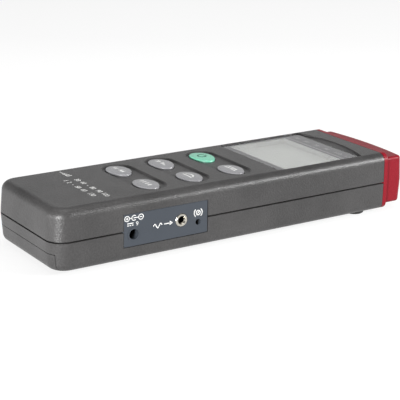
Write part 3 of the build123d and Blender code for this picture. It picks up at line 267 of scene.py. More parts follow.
# --- Properties -----------------------------------------------------------------------------
class MeterColours(bpy.types.PropertyGroup):
    """Colours of the meter's finishes."""
    housing: colour("Housing", "Dark grey ABS of both shells and the battery cover", "#3e3d3d")
    cap: colour("End cap", "Red ABS of the end cap", "#8c1725")
    panel: colour("Connector panel", "Blue-grey ABS of the connector panel", "#42474e")
    key: colour("Keys", "Grey of the five plain keys", "#919194")
    power_key: colour("Power key", "Mint green of the power key", "#7accae")
    legend: colour("White print", "White ink of the marks", "#f2f2f0")
    power_legend: colour("Power mark", "Dark green ink of the mark on the power key", "#0f5a47")
    lens_border: colour("Lens border", "Silver-grey ink behind the lens", "#626065")
    lens_figures: colour("Lens figures", "Pale ink of the figures behind the lens", "#b9b5bd")
    display: colour("Display", "Face of the liquid crystal cell", "#9a9c95")
    bezel: colour("Display bezel", "Light grey frame inside the window", "#a8a8a5")
    floor: colour("Floor", "White paper that the meter lies on", "#f4f4f4")


class MeterSizes(bpy.types.PropertyGroup):
    """Sizes of the marks and small details."""
    figure_height: length("Figure height", "Height of the printed figures on the front", 3.0)
    print_thickness: length("Print thickness", "How far ink stands on the plastic", 0.03)
    legend_height: length("Key mark height", "Height of the marks on the keys", 2.6)
    key_print: length("Key print", "Half the thickness of the ink on the keys", 0.008)
    key_crown: length("Key crown", "Radius of the crowned top of the keys", 60.0)
    panel_rim: length("Inlet rim", "How far the rim of the power inlet stands off the panel", 0.2)
    bezel_flange: length("Bezel flange", "From the edge of the bezel to its opening", 3.5)
    grain: length("Mould grain", "Size of the grain on the housing", 1.0)
    grain_depth: length("Grain depth", "Depth of the grain on the housing", 0.20)
    thread_pitch: length("Tripod thread pitch", "Pitch of the 1/4 inch camera thread", 1.27)
    thread_core: length("Tripod thread core", "Radius of the crests of the camera thread", 2.6)
    thread_depth: length("Tripod thread depth", "Depth of the camera thread", 0.55)
    screw_head_height: length("Screw head", "Height of the case screws' heads", 2.2)
    screw_shank_radius: length("Screw shank", "Radius of the case screws", 1.24)
    screw_pitch: length("Screw pitch", "Thread pitch of the case screws", 1.2)


class MeterStudio(bpy.types.PropertyGroup):
    """Lights and camera."""
    lens: bpy.props.FloatProperty(name="Focal length", description="Camera focal length",
                                  default=120.81, min=10.0, unit="CAMERA")
    key_power: bpy.props.FloatProperty(name="Back softbox", default=13.0, min=0.0, unit="POWER",
                                       description="Power of the softbox behind on the right")
    strip_power: bpy.props.FloatProperty(name="Corner strip", default=14.4, min=0.0, unit="POWER",
                                         description="Power of the low strip beside the camera")
    front_power: bpy.props.FloatProperty(name="Front card", default=0.8, min=0.0, unit="POWER",
                                         description="Power of the card before the battery end")
    back_power: bpy.props.FloatProperty(name="Far left card", default=0.17, min=0.0, unit="POWER",
                                        description="Power of the low card behind on the left")
    top_power: bpy.props.FloatProperty(name="Top softbox", default=4.4, min=0.0, unit="POWER",
                                       description="Power of the wide softbox overhead")


# --- Studio ---------------------------------------------------------------------------------
def area_lamp(name, place, aim, size, power):
    """A rectangular softbox that faces a point."""
    data = bpy.data.lights.new(name, "AREA")
    data.shape, data.energy = "RECTANGLE", power
    data.size, data.size_y = size
    lamp = bpy.data.objects.new(name, data)
    bpy.context.scene.collection.objects.link(lamp)
    lamp.location = place
    lamp.rotation_mode = "QUATERNION"
    lamp.rotation_quaternion = (Vector(aim) - Vector(place)).to_track_quat("-Z", "Y")


def from_direction(azimuth, elevation, distance):
    """A point at a distance from the aim, with its azimuth from +X towards +Y, in degrees."""
    a, e = math.radians(azimuth), math.radians(elevation)
    step = Vector((math.cos(a) * math.cos(e), math.sin(a) * math.cos(e), math.sin(e)))
    return Vector(AIM) + distance * step


class METER_OT_stage(bpy.types.Operator):
    """White table, soft lights, pale surroundings and the camera"""
    bl_idname = "meter.stage"
    bl_label = "Studio and camera"

    def execute(self, context):
        scene = context.scene
        scene.view_settings.view_transform = "Standard"
        colours, studio = scene.meter_colours, scene.meter_studio

        # Camera: above the connector side, towards the battery end.
        azimuth, elevation, roll = (math.radians(a) for a in CAMERA_TURN)
        ahead = Vector((-math.sin(azimuth) * math.cos(elevation),
                        math.cos(azimuth) * math.cos(elevation), -math.sin(elevation)))
        level = Vector((math.cos(azimuth), math.sin(azimuth), 0.0))
        upright = level.cross(ahead)
        right = level * math.cos(roll) + upright * math.sin(roll)
        up = -level * math.sin(roll) + upright * math.cos(roll)
        camera_data = bpy.data.cameras.new("camera")
        camera_data.sensor_width, camera_data.lens = SENSOR_WIDTH, studio.lens
        camera_data.clip_start, camera_data.clip_end = 0.01, 50.0
        camera = bpy.data.objects.new("camera", camera_data)
        scene.collection.objects.link(camera)
        turn = Matrix((right, up, -ahead)).transposed().to_4x4()
        camera.matrix_world = Matrix.Translation(CAMERA_PLACE) @ turn
        scene.camera = camera

        # Table: white matt paper. Seen directly or in gloss it is close to pure white, and it
        # keeps a faint shadow of the meter.
        mesh = bpy.data.meshes.new("floor")
        mesh.from_pydata([(x * FLOOR_HALF, y * FLOOR_HALF, 0)
                          for x, y in ((-1, -1), (1, -1), (1, 1), (-1, 1))], [], [(0, 1, 2, 3)])
        floor = bpy.data.objects.new("floor", mesh)
        scene.collection.objects.link(floor)
        material, tree = new_material("matt_white_paper")
        path = add_node(tree, "ShaderNodeLightPath").outputs
        seen = path["Is Camera Ray"]
        for ray in ("Is Glossy Ray", "Is Transmission Ray"):
            seen = add_node(tree, "ShaderNodeMath", {0: seen, 1: path[ray]}, operation="MAXIMUM")
        paper, faint = (add_node(tree, "ShaderNodeBsdfDiffuse", {
            "Color": scaled(colours.floor, shade)}) for shade in (PAPER_SHADE, SHADOW_SHADE))
        glow = add_node(tree, "ShaderNodeEmission", {
            "Color": colours.floor, "Strength": PAPER_GLOW})
        bright = add_node(tree, "ShaderNodeAddShader", {0: faint, 1: glow})
        both = add_node(tree, "ShaderNodeMixShader", {0: seen, 1: paper, 2: bright})
        add_node(tree, "ShaderNodeOutputMaterial", {"Surface": both})
        mesh.materials.append(material)

        # Surroundings: white to the camera, but as light a grey horizon under a dimmer ceiling.
        world = bpy.data.worlds.new("studio")
        world.use_nodes = True
        tree = world.node_tree
        tree.nodes.clear()
        path = add_node(tree, "ShaderNodeLightPath").outputs
        # A ray that comes from the display through the lens lights it, so it meets the real room.
        direct = add_node(tree, "ShaderNodeMath", {0: path["Diffuse Depth"], 1: 0.5},
                          operation="LESS_THAN")
        through = add_node(tree, "ShaderNodeMath", {0: path["Is Transmission Ray"], 1: direct},
                           operation="MULTIPLY")
        seen = add_node(tree, "ShaderNodeMath", {0: path["Is Camera Ray"], 1: through},
                        operation="MAXIMUM")
        direction = add_node(tree, "ShaderNodeTexCoord").outputs["Generated"]
        rise = add_node(tree, "ShaderNodeSeparateXYZ", {"Vector": direction}).outputs["Z"]
        # Gloss and metal show the white backdrop too, which stands low behind the table.
        low = add_node(tree, "ShaderNodeMath", {0: rise, 1: BACKDROP_RISE}, operation="LESS_THAN")
        mirrored = add_node(tree, "ShaderNodeMath", {0: path["Is Glossy Ray"], 1: low},
                            operation="MULTIPLY")
        seen = add_node(tree, "ShaderNodeMath", {0: seen, 1: mirrored}, operation="MAXIMUM")
        dim = add_node(tree, "ShaderNodeMapRange", {
            "Value": rise, "From Min": HORIZON_RISE, "From Max": CEILING_RISE})
        room = add_node(tree, "ShaderNodeMix", {
            0: dim, 6: (HORIZON,) * 3 + (1.0,), 7: (CEILING,) * 3 + (1.0,)},
            data_type="RGBA").outputs[2]
        air = add_node(tree, "ShaderNodeMix", {0: seen, 6: room, 7: (1.0, 1.0, 1.0, 1.0)},
                       data_type="RGBA").outputs[2]
        back = add_node(tree, "ShaderNodeBackground", {"Color": air, "Strength": 1.0})
        add_node(tree, "ShaderNodeOutputWorld", {"Surface": back})
        scene.world = world

        area_lamp("softbox_back_right", from_direction(48, 20, 1.2), AIM, (0.35, 0.12),
                  studio.key_power)
        area_lamp("softbox_above", (0.0, 0.0, 1.2), AIM, (0.9, 0.9), studio.top_power)
        area_lamp("strip_near_corner", from_direction(-57, 8, 1.1), AIM, (0.25, 0.3),
                  studio.strip_power)
        area_lamp("card_battery_end", from_direction(-100, 4.5, 0.6), (0.0, -0.1, 0.02),
                  (0.4, 0.07), studio.front_power)
        area_lamp("card_far_left", from_direction(150, 25, 0.5), AIM, (0.5, 0.2),
                  studio.back_power)
        return {"FINISHED"}


# --- Finishes of the CAD nodes --------------------------------------------------------------
class METER_OT_finishes(bpy.types.Operator):
    """Gives every rigid part the finish of the real one"""
    bl_idname = "meter.finishes"
    bl_label = "Finishes"

    def execute(self, context):
        c, s = context.scene.meter_colours, context.scene.meter_sizes
        black = linear("#1b1b1c")
        band_width, band_inset = 14 * MM, 9 * MM
        finishes = {
            "housing_plastic": moulded("eroded_abs_dark_grey", c.housing, s.grain,
                                       s.grain_depth, 0.38, mottle=0.30),
            "cap_plastic": moulded("eroded_abs_red", c.cap, s.grain, s.grain_depth, 0.38,
                                   gloss=0.2),
            "panel_plastic": moulded("satin_abs_blue_grey", c.panel, 0.5 * MM, 0.006 * MM, 0.42,
                                     gloss=0.3),
            "key_grey": moulded("satin_abs_light_grey", c.key, 0.6 * MM, 0.008 * MM, 0.30,
                                gloss=0.8),
            "key_green": moulded("satin_abs_mint", c.power_key, 0.6 * MM, 0.008 * MM, 0.30,
                                 gloss=0.8),
            "black_rubber": moulded("moulded_rubber_black", linear("#1a1a1a"), 0.5 * MM,
                                    0.03 * MM, 0.75, sheen=0.2),
            "silicone": moulded("silicone_rubber_grey", linear("#9a9a98"), 1.2 * MM, 0.01 * MM,
                                0.5, ior=1.42),
            "lens": cast_acrylic("polished_acrylic_clear", linear("#f4f6f4")),
            "bezel_plastic": moulded("satin_abs_pale_grey", c.bezel, 0.6 * MM, 0.008 * MM, 0.5),
            "lcd": display_cell("polariser_over_silvered_cell", c.display,
                                scaled(c.display, 0.93)),
            "diffuser": moulded("milky_acrylic", linear("#e6e6de"), 2 * MM, 0.004 * MM, 0.3,
                                ior=1.49),
            "circuit_board": circuit_laminate("green_solder_resist", linear("#0d4a26"),
                                              linear("#2f7a3c")),
            "chip_plastic": moulded("moulded_epoxy_black", black, 0.3 * MM, 0.01 * MM, 0.6),
            "plated_steel": turned_metal("nickel_plated_steel", linear("#c6c2b8"), 0.22,
                                         0.12 * MM, "X"),
            "screw_steel": turned_metal("zinc_plated_steel", linear("#b9bcc0"), 0.3,
                                        0.15 * MM, "Z"),
            "brass": turned_metal("turned_brass", linear("#c9a658"), 0.25, 0.15 * MM, "Z"),
            "black_plastic": moulded("satin_nylon_black", black, 0.5 * MM, 0.01 * MM, 0.45),
            "battery_jacket": printed_jacket(
                "lacquered_battery_jacket", linear("#23262b"), linear("#b58a3c"),
                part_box("battery")[1].x - band_inset, band_width),
            "microphone_metal": turned_metal("satin_nickel_brass", linear("#b7b5ae"), 0.3,
                                             0.10 * MM, "Y"),
            "foam": moulded("open_cell_foam", linear("#3a3a3a"), 0.7 * MM, 0.25 * MM, 0.95,
                            mottle=0.2),
            "trimmer_plastic": moulded("satin_polyamide_blue", linear("#2c4f8c"), 0.5 * MM,
                                       0.01 * MM, 0.4),
            "capacitor_sleeve": moulded("shrink_sleeve_black", linear("#22252c"), 0.8 * MM,
                                        0.01 * MM, 0.3),
        }
        for part in frame["record"]["subparts"]:
            node = frame["nodes"][part["node"]]
            node.material_slots[0].material = finishes[part["material_slot"]]
        return {"FINISHED"}


# --- Printed marks --------------------------------------------------------------------------
# Marks are drawn flat in millimetres, x to the right and y up, and then laid on their surface.
def stroke(bm, points, width, thickness, closed=False):
    """Adds a line of even width through the points, cut short enough to bend over a crown."""
    points = [Vector(p) for p in points]
    ends = points[1:] + (points[:1] if closed else [])
    path = []
    for a, b in zip(points, ends):
        cuts = max(1, math.ceil((b - a).length / LONGEST_CUT))
        path += [a.lerp(b, i / cuts) for i in range(cuts)]
    path += [] if closed else points[-1:]
    rows = []
    for i, point in enumerate(path):
        before = path[i - 1] if i or closed else point
        after = path[(i + 1) % len(path)] if i + 1 < len(path) or closed else point
        run, back = after - point, point - before
        ahead = (run if run.length else back).normalized()
        behind = (back if back.length else run).normalized()
        middle = (ahead + behind).normalized()
        mitre = max(SHARPEST_MITRE, middle.dot(ahead))
        side = Vector((middle.y, -middle.x)) * width / 2 / mitre
        rows.append([bm.verts.new((*(point + side * k), z)) for k, z in (
            (-1, 0.0), (1, 0.0), (1, thickness), (-1, thickness))])
    for a, b in list(zip(rows, rows[1:])) + ([(rows[-1], rows[0])] if closed else []):
        for i in range(4):
            bm.faces.new((a[i], a[(i + 1) % 4], b[(i + 1) % 4], b[i]))
    if not closed:
        bm.faces.new(rows[0])
        bm.faces.new(rows[-1][::-1])


def arc(bm, x, y, radius, start, end, width, thickness):
    """Adds a round line from one angle to another, in degrees, or a whole ring."""
    whole = abs(end - start) >= 360.0
    steps = 36
    turns = [math.radians(start + (end - start) * i / steps) for i in range(steps + (not whole))]
    stroke(bm, [(x + radius * math.cos(a), y + radius * math.sin(a)) for a in turns], width,
           thickness, closed=whole)


def figures(bm, text, x, y, size, thickness, stretch=1.0):
    """Adds plain figures, with the left end of their base line at the point."""
    data = bpy.data.curves.new("figures", "FONT")
    data.body, data.size, data.extrude = text, size / FIGURE_SHARE, thickness / 2
    data.resolution_u = 3
    shape = bpy.data.objects.new("figures", data)
    bpy.context.scene.collection.objects.link(shape)
    bpy.context.view_layer.update()
    mesh = bpy.data.meshes.new_from_object(shape.evaluated_get(
        bpy.context.evaluated_depsgraph_get()))
    mesh.transform(Matrix.Translation((x, y, thickness / 2)) @ Matrix.Diagonal(
        (stretch, 1.0, 1.0, 1.0)))
    bm.from_mesh(mesh)
    bpy.data.objects.remove(shape)
    bpy.data.curves.remove(data)
    bpy.data.meshes.remove(mesh)


def lay_marks(name, bm, origin, right, up, material, body, crown=0.0):
    """Makes the drawn marks one mesh at their place, in metres, riding on a body. Crown is the
    radius in millimetres of the domed surface that they lie on, measured from its top."""
    bmesh.ops.remove_doubles(bm, verts=bm.verts, dist=0.0005)
    bmesh.ops.recalc_face_normals(bm, faces=bm.faces)
    if crown:
        for v in bm.verts:
            v.co.z -= (v.co.x ** 2 + v.co.y ** 2) / (2 * crown)
    right, up = Vector(right), Vector(up)
    out = right.cross(up)
    turn = Matrix((right, up, out)).transposed().to_4x4()
    bm.transform(Matrix.Translation(origin) @ turn @ Matrix.Scale(MM, 4))
    mesh = bpy.data.meshes.new(name)
    bm.to_mesh(mesh)
    bm.free()
    mesh.materials.append(material)
    piece = bpy.data.objects.new(name, mesh)
    bpy.context.scene.collection.objects.link(piece)
    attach(piece, body)


class METER_OT_front_print(bpy.types.Operator):
    """Plain figures of the two measuring ranges, printed white near the battery end"""
    bl_idname = "meter.front_print"
    bl_label = "Figures on the front"

    def execute(self, context):
        c, s = context.scene.meter_colours, context.scene.meter_sizes
        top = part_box("top_shell")[1].z
        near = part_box("top_shell")[0].y
        size, thick = s.figure_height / MM, s.print_thickness / MM
        bm = bmesh.new()
        # Heading: a little row of rising bars that stands for the level.
        bars, first, pitch, foot, shortest, growth = 6, -27.4, 1.75, 35.6, 0.8, 0.44
        for i in range(bars):
            x = first + pitch * i
            stroke(bm, [(x, foot), (x, foot + shortest + growth * i)], 0.85, thick)
        # Two rows of figures, each with the place of its left end.
        upper = (("30", -11.6), ("40", -5.3), ("-", 1.6), ("80", 5.4), ("90", 12.1), ("100", 17.8))
        lower = (("1", -12.4), ("2", -8.6), ("-", -3.4), ("50", 0.2), ("60", 6.6), ("130", 14.0))
        for row, y in ((upper, 36.0), (lower, 30.0)):
            for text, x in row:
                figures(bm, text, x, y, size, thick)
        ink = printed_ink("pad_print_white", c.legend)
        lay_marks("range_figures", bm, (0.0, near, top), (1, 0, 0), (0, 1, 0), ink, HOUSING)
        return {"FINISHED"}


class METER_OT_key_marks(bpy.types.Operator):
    """Pictograms printed on the crowned keys"""
    bl_idname = "meter.key_marks"
    bl_label = "Marks on the keys"

    def execute(self, context):
        c, s = context.scene.meter_colours, context.scene.meter_sizes
        thick, wide, bold, high = 2 * s.key_print / MM, 0.85, 1.1, s.legend_height / MM / 2
        # Most of the ink is sunk in the crown. What stands out stays under the key's peak, as no
        # mark crosses its middle.
        sunk = 1.4 * s.key_print
        white = printed_ink("pad_print_white_on_keys", c.legend)
        green = printed_ink("pad_print_dark_green", c.power_legend)

        def level(bm):
            for side in (-1, 1):
                for x in (2.3, 4.3):
                    stroke(bm, [(side * (x - 0.9), -side * high * 0.7), (side * x, side * high),
                                (side * (x + 0.9), -side * high * 0.7)], wide, thick)

        def hold(bm):
            for x in (-4.1, -1.4, 1.4, 4.1):
                stroke(bm, [(x, -high), (x, high)], 1.15, thick)

        def response(bm):
            for x in (-4.4, -2.8):
                stroke(bm, [(x, -high), (x + 1.3, 0.0), (x, high)], wide, thick)
            for x, end in ((1.4, 1.0), (3.05, 0.35), (4.7, -0.3)):
                stroke(bm, [(x, -high), (x, high * end)], bold, thick)

        def weighting(bm):
            stroke(bm, [(-4.4, -high), (4.4, -high)], wide, thick)
            arc(bm, 0.0, -2.9, 4.6, 38, 142, 1.0, thick)

        def most(bm):
            stroke(bm, [(-4.2, high), (4.2, high)], 0.95, thick)
            for x in (-4.0, -1.55, 1.55, 4.0):
                stroke(bm, [(x - 0.8, -high), (x, high - 1.0), (x + 0.8, -high)], wide, thick)

        def power(bm):
            arc(bm, 0.0, 0.0, 2.4, 125, 415, 0.85, thick)
            stroke(bm, [(0.0, 1.15), (0.0, 3.3)], 0.85, thick)

        for key, draw, ink in (("key_level", level, white), ("key_hold", hold, white),
                               ("key_response", response, white),
                               ("key_weighting", weighting, white), ("key_max", most, white),
                               ("key_power", power, green)):
            low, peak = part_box(key)
            top = ((low.x + peak.x) / 2, (low.y + peak.y) / 2, peak.z - sunk)
            bm = bmesh.new()
            draw(bm)
            lay_marks(key + "_mark", bm, top, (1, 0, 0), (0, 1, 0), ink, key + "_body",
                      crown=s.key_crown / MM)
        return {"FINISHED"}


class METER_OT_panel_marks(bpy.types.Operator):
    """Pictograms printed on the connector panel: supply polarity, signal output, adjustment"""
    bl_idname = "meter.panel_marks"
    bl_label = "Marks on the connector panel"

    def execute(self, context):
        c, s = context.scene.meter_colours, context.scene.meter_sizes
        near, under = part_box("top_shell")[0].y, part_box("bottom_shell")[0].z
        thick = s.print_thickness / MM
        # Places are from the battery end and from the back of the housing.
        plus, minus, polarity, medium = 42.2, 50.5, 23.0, 0.5
        turning = (85.8, 19.3)
        arm, clear = 0.75, 0.21     # of the plus and minus: half their length, and of the crossing
        bm = bmesh.new()
        # Polarity of the supply plug: its sleeve to plus, its pin to minus.
        for y in (plus, minus):
            arc(bm, y, polarity, 1.4, 0, 360, 0.42, thick)
            stroke(bm, [(y - arm, polarity), (y + arm, polarity)], 0.4, thick)
        stroke(bm, [(plus, polarity - arm), (plus, polarity - clear)], 0.4, thick)
        stroke(bm, [(plus, polarity + clear), (plus, polarity + arm)], 0.4, thick)
        arc(bm, 46.4, polarity, 1.35, 45, 315, 0.45, thick)
        stroke(bm, [(43.7, polarity), (44.85, polarity)], 0.45, thick)
        stroke(bm, [(46.1, polarity), (48.95, polarity)], medium, thick)
        # Direct current, and its voltage.
        stroke(bm, [(42.3, 20.3), (46.0, 20.3)], medium, thick)
        for y in (42.3, 43.7, 45.1):
            stroke(bm, [(y, 19.2), (y + 0.9, 19.2)], medium, thick)
        figures(bm, "9", 47.4, 18.6, 2.3, thick, stretch=1.05)
        # Signal output: a wave, and an arrow towards the socket.
        start, step, middle, swing, turn = 58.0, 0.35, 16.2, 1.15, 0.62
        wave = [(start + i * step, middle + swing * math.sin(i * turn)) for i in range(16)]
        stroke(bm, wave, medium, thick)
        stroke(bm, [(64.6, 16.5), (69.2, 16.5)], medium, thick)
        stroke(bm, [(68.0, 15.5), (69.5, 16.5), (68.0, 17.5)], medium, thick)
        # Adjustment: a screw slot between two turning arcs.
        arc(bm, *turning, 1.25, 0, 360, medium, thick)
        stroke(bm, [(85.25, 18.75), (86.35, 19.85)], medium, thick)
        for start in (-50, 130):
            arc(bm, *turning, 2.5, start, start + 100, 0.55, thick)
        ink = printed_ink("pad_print_white_on_panel", c.legend)
        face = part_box("side_panel")[1].x - s.panel_rim
        lay_marks("panel_marks", bm, (face, near, under), (0, 1, 0), (0, 0, 1), ink, HOUSING)
        return {"FINISHED"}


# --- Display window -------------------------------------------------------------------------
def rounded(x0, y0, x1, y1, radius):
    """Corner points of a rectangle with round corners, anticlockwise."""
    steps = 6
    points = []
    for x, y, start in ((x1 - radius, y0 + radius, -90), (x1 - radius, y1 - radius, 0),
                        (x0 + radius, y1 - radius, 90), (x0 + radius, y0 + radius, 180)):
        for i in range(steps + 1):
            a = math.radians(start + 90 * i / steps)
            points.append((x + radius * math.cos(a), y + radius * math.sin(a)))
    return points


class METER_OT_display(bpy.types.Operator):
    """Silver border and pale level scale, printed behind the lens round the display"""
    bl_idname = "meter.display"
    bl_label = "Display border and scale"

    def execute(self, context):
        c, s = context.scene.meter_colours, context.scene.meter_sizes
        low, high = (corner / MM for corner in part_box("display_lens"))
        flange_low, flange_high = (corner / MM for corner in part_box("lcd_bezel"))
        edge, thick, margin = s.bezel_flange / MM, s.print_thickness / MM, 0.3
        outer_radius, inner_radius, inset = 1.6, 0.4, 0.01
        bm = bmesh.new()
        outer = rounded(low.x + margin, low.y + margin, high.x - margin, high.y - margin,
                        outer_radius)
        inner = rounded(flange_low.x + edge, flange_low.y + edge, flange_high.x - edge,
                        flange_high.y - edge, inner_radius)
        rows = [[bm.verts.new((x, y, z)) for x, y in loop] for loop, z in (
            (outer, 0.0), (outer, thick), (inner, thick), (inner, 0.0))]
        count = len(outer)
        for a, b in zip(rows, rows[1:] + rows[:1]):
            for i in range(count):
                j = (i + 1) % count
                bm.faces.new((a[i], a[j], b[j], b[i]))
        border = printed_ink("screen_print_silver", c.lens_border)
        lay_marks("lens_border", bm, (0.0, 0.0, (low.z + inset) * MM), (1, 0, 0), (0, 1, 0),
                  border, HOUSING)

        # The figures lie on the border, seen through the lens.
        bm = bmesh.new()
        base, first, pitch, size = flange_high.y - edge, -25.6, 9.6, 2.6
        text_rise, rule_rise, half_rule = 5.6, 2.4, 27.5
        for i, text in enumerate(("30", "50", "70", "90", "110", "130")):
            figures(bm, text, first + pitch * i, base + text_rise, size, thick, stretch=1.15)
        stroke(bm, [(-half_rule, base + rule_rise), (half_rule, base + rule_rise)], 0.5, thick)
        pale = printed_ink("screen_print_pale", c.lens_figures)
        lay_marks("lens_figures", bm, (0.0, 0.0, (low.z + 3 * inset + thick) * MM), (1, 0, 0),
                  (0, 1, 0), pale, HOUSING)
        return {"FINISHED"}


# --- Fasteners and tripod insert ------------------------------------------------------------
def screw_tree(material):
    """Builds the geometry tree of a cross-recessed pan-head screw, driven upwards, on points."""
    dome, smooth_below = 0.45, 0.6      # crown's fall as a share of the head's height; radians
    arm_share, slot_share, deep_share = 1.24, 0.22, 1.2     # recess, as shares of the head
    tree = bpy.data.node_groups.new("pan_head_screws", "GeometryNodeTree")
    tree.interface.new_socket("Points", in_out="INPUT", socket_type="NodeSocketGeometry")
    for name in ("Head Radius", "Head Height", "Shank Radius", "Length", "Thread Pitch",
                 "Thread Depth"):
        tree.interface.new_socket(name, in_out="INPUT", socket_type="NodeSocketFloat")
    tree.interface.new_socket("Screws", in_out="OUTPUT", socket_type="NodeSocketGeometry")
    given = add_node(tree, "NodeGroupInput").outputs

    # Head: its bearing face at zero, its crown below, domed by the cube of the radius.
    low = add_node(tree, "ShaderNodeMath", {0: given["Head Height"], 1: -1.0},
                   operation="MULTIPLY")
    middle = add_node(tree, "ShaderNodeMath", {0: low, 1: 0.5}, operation="MULTIPLY")
    head = add_node(tree, "GeometryNodeMeshCylinder", {
        "Vertices": 40, "Side Segments": 3, "Fill Segments": 6, "Radius": given["Head Radius"],
        "Depth": given["Head Height"]})
    head = add_node(tree, "GeometryNodeTransform", {
        "Geometry": head, "Translation": add_node(tree, "ShaderNodeCombineXYZ", {"Z": middle})})
    place = add_node(tree, "ShaderNodeSeparateXYZ", {
        "Vector": add_node(tree, "GeometryNodeInputPosition")}).outputs
    across, along = (add_node(tree, "ShaderNodeMath", {0: place[axis], 1: place[axis]},
                              operation="MULTIPLY") for axis in "XY")
    square = add_node(tree, "ShaderNodeMath", {0: across, 1: along}, operation="ADD")
    radius = add_node(tree, "ShaderNodeMath", {0: square}, operation="SQRT")
    share = add_node(tree, "ShaderNodeMath", {0: radius, 1: given["Head Radius"]},
                     operation="DIVIDE")
    cube = add_node(tree, "ShaderNodeMath", {0: share, 1: 3.0}, operation="POWER")
    bulge = add_node(tree, "ShaderNodeMath", {0: cube, 1: dome}, operation="MULTIPLY")
    depth = add_node(tree, "ShaderNodeMath", {0: place["Z"], 1: low}, operation="DIVIDE")
    reach = add_node(tree, "ShaderNodeMath", {0: depth, 1: given["Head Height"]},
                     operation="MULTIPLY")
    rise = add_node(tree, "ShaderNodeMath", {0: bulge, 1: reach}, operation="MULTIPLY")
    head = add_node(tree, "GeometryNodeSetPosition", {
        "Geometry": head, "Offset": add_node(tree, "ShaderNodeCombineXYZ", {"Z": rise})})

    # Recess: a cross of two bars, cut from the crown.
    arm, slot = (add_node(tree, "ShaderNodeMath", {0: given["Head Radius"], 1: part},
                          operation="MULTIPLY") for part in (arm_share, slot_share))
    deep = add_node(tree, "ShaderNodeMath", {0: given["Head Height"], 1: deep_share},
                    operation="MULTIPLY")
    bars = []
    for x, y in ((arm, slot), (slot, arm)):
        bar = add_node(tree, "GeometryNodeMeshCube", {
            "Size": add_node(tree, "ShaderNodeCombineXYZ", {"X": x, "Y": y, "Z": deep})})
        bars.append(add_node(tree, "GeometryNodeTransform", {
            "Geometry": bar, "Translation": add_node(tree, "ShaderNodeCombineXYZ", {"Z": low})}))
    cutter = add_node(tree, "GeometryNodeMeshBoolean", {"Mesh 2": bars[0]}, operation="UNION",
                      solver="EXACT")
    tree.links.new(bars[1].outputs[0], cutter.inputs["Mesh 2"])
    head = add_node(tree, "GeometryNodeMeshBoolean", {"Mesh 1": head, "Mesh 2": cutter},
                    operation="DIFFERENCE", solver="EXACT")

    # Shank: a helical thread, cut in as a V by height and angle.
    shank = add_node(tree, "GeometryNodeMeshCylinder", {
        "Vertices": 24, "Side Segments": 96, "Radius": given["Shank Radius"],
        "Depth": given["Length"]})
    middle = add_node(tree, "ShaderNodeMath", {0: given["Length"], 1: 0.5}, operation="MULTIPLY")
    shank = add_node(tree, "GeometryNodeTransform", {
        "Geometry": shank, "Translation": add_node(tree, "ShaderNodeCombineXYZ", {"Z": middle})})
    angle = add_node(tree, "ShaderNodeMath", {0: place["Y"], 1: place["X"]}, operation="ARCTAN2")
    turn = add_node(tree, "ShaderNodeMath", {0: angle, 1: 2.0 * math.pi}, operation="DIVIDE")
    pitches = add_node(tree, "ShaderNodeMath", {0: place["Z"], 1: given["Thread Pitch"]},
                       operation="DIVIDE")
    wound = add_node(tree, "ShaderNodeMath", {0: pitches, 1: turn}, operation="SUBTRACT")
    phase = add_node(tree, "ShaderNodeMath", {0: wound}, operation="FRACT")
    swing = add_node(tree, "ShaderNodeMath", {0: phase, 1: 0.5}, operation="SUBTRACT")
    flank = add_node(tree, "ShaderNodeMath", {0: swing}, operation="ABSOLUTE")
    tooth = add_node(tree, "ShaderNodeMath", {0: flank, 1: 2.0}, operation="MULTIPLY")
    groove = add_node(tree, "ShaderNodeMath", {0: tooth, 1: given["Thread Depth"]},
                      operation="MULTIPLY")
    cut = add_node(tree, "ShaderNodeMath", {0: groove, 1: given["Shank Radius"]},
                   operation="DIVIDE")
    inward = add_node(tree, "ShaderNodeMath", {0: cut, 1: -1.0}, operation="MULTIPLY")
    offset = add_node(tree, "ShaderNodeCombineXYZ", {
        axis: add_node(tree, "ShaderNodeMath", {0: place[axis], 1: inward}, operation="MULTIPLY")
        for axis in "XY"})
    shank = add_node(tree, "GeometryNodeSetPosition", {"Geometry": shank, "Offset": offset})

    screw = add_node(tree, "GeometryNodeJoinGeometry", {"Geometry": head})
    tree.links.new(shank.outputs[0], screw.inputs[0])
    many = add_node(tree, "GeometryNodeInstanceOnPoints", {
        "Points": given["Points"], "Instance": screw})
    real = add_node(tree, "GeometryNodeRealizeInstances", {"Geometry": many})
    crease = add_node(tree, "GeometryNodeInputMeshEdgeAngle").outputs["Unsigned Angle"]
    gentle = add_node(tree, "ShaderNodeMath", {0: crease, 1: smooth_below},
                      operation="LESS_THAN")
    smooth = add_node(tree, "GeometryNodeSetShadeSmooth", {
        "Geometry": real, "Shade Smooth": gentle}, domain="EDGE")
    finish = add_node(tree, "GeometryNodeSetMaterial", {"Geometry": smooth, "Material": material})
    add_node(tree, "NodeGroupOutput", {0: finish})
    return tree


def grow(name, points, tree, sizes):
    """Runs a geometry tree on loose points and keeps its result as one plain mesh."""
    mesh = bpy.data.meshes.new(name)
    mesh.from_pydata(points, [], [])
    piece = bpy.data.objects.new(name, mesh)
    bpy.context.scene.collection.objects.link(piece)
    modifier = piece.modifiers.new("grow", "NODES")
    modifier.node_group = tree
    for item in tree.interface.items_tree:
        if item.in_out == "INPUT" and item.name in sizes:
            modifier[item.identifier] = sizes[item.name]
    evaluated = piece.evaluated_get(bpy.context.evaluated_depsgraph_get())
    piece.data = bpy.data.meshes.new_from_object(evaluated)
    piece.modifiers.clear()
    bpy.data.meshes.remove(mesh)
    piece.data.name = name
    return piece


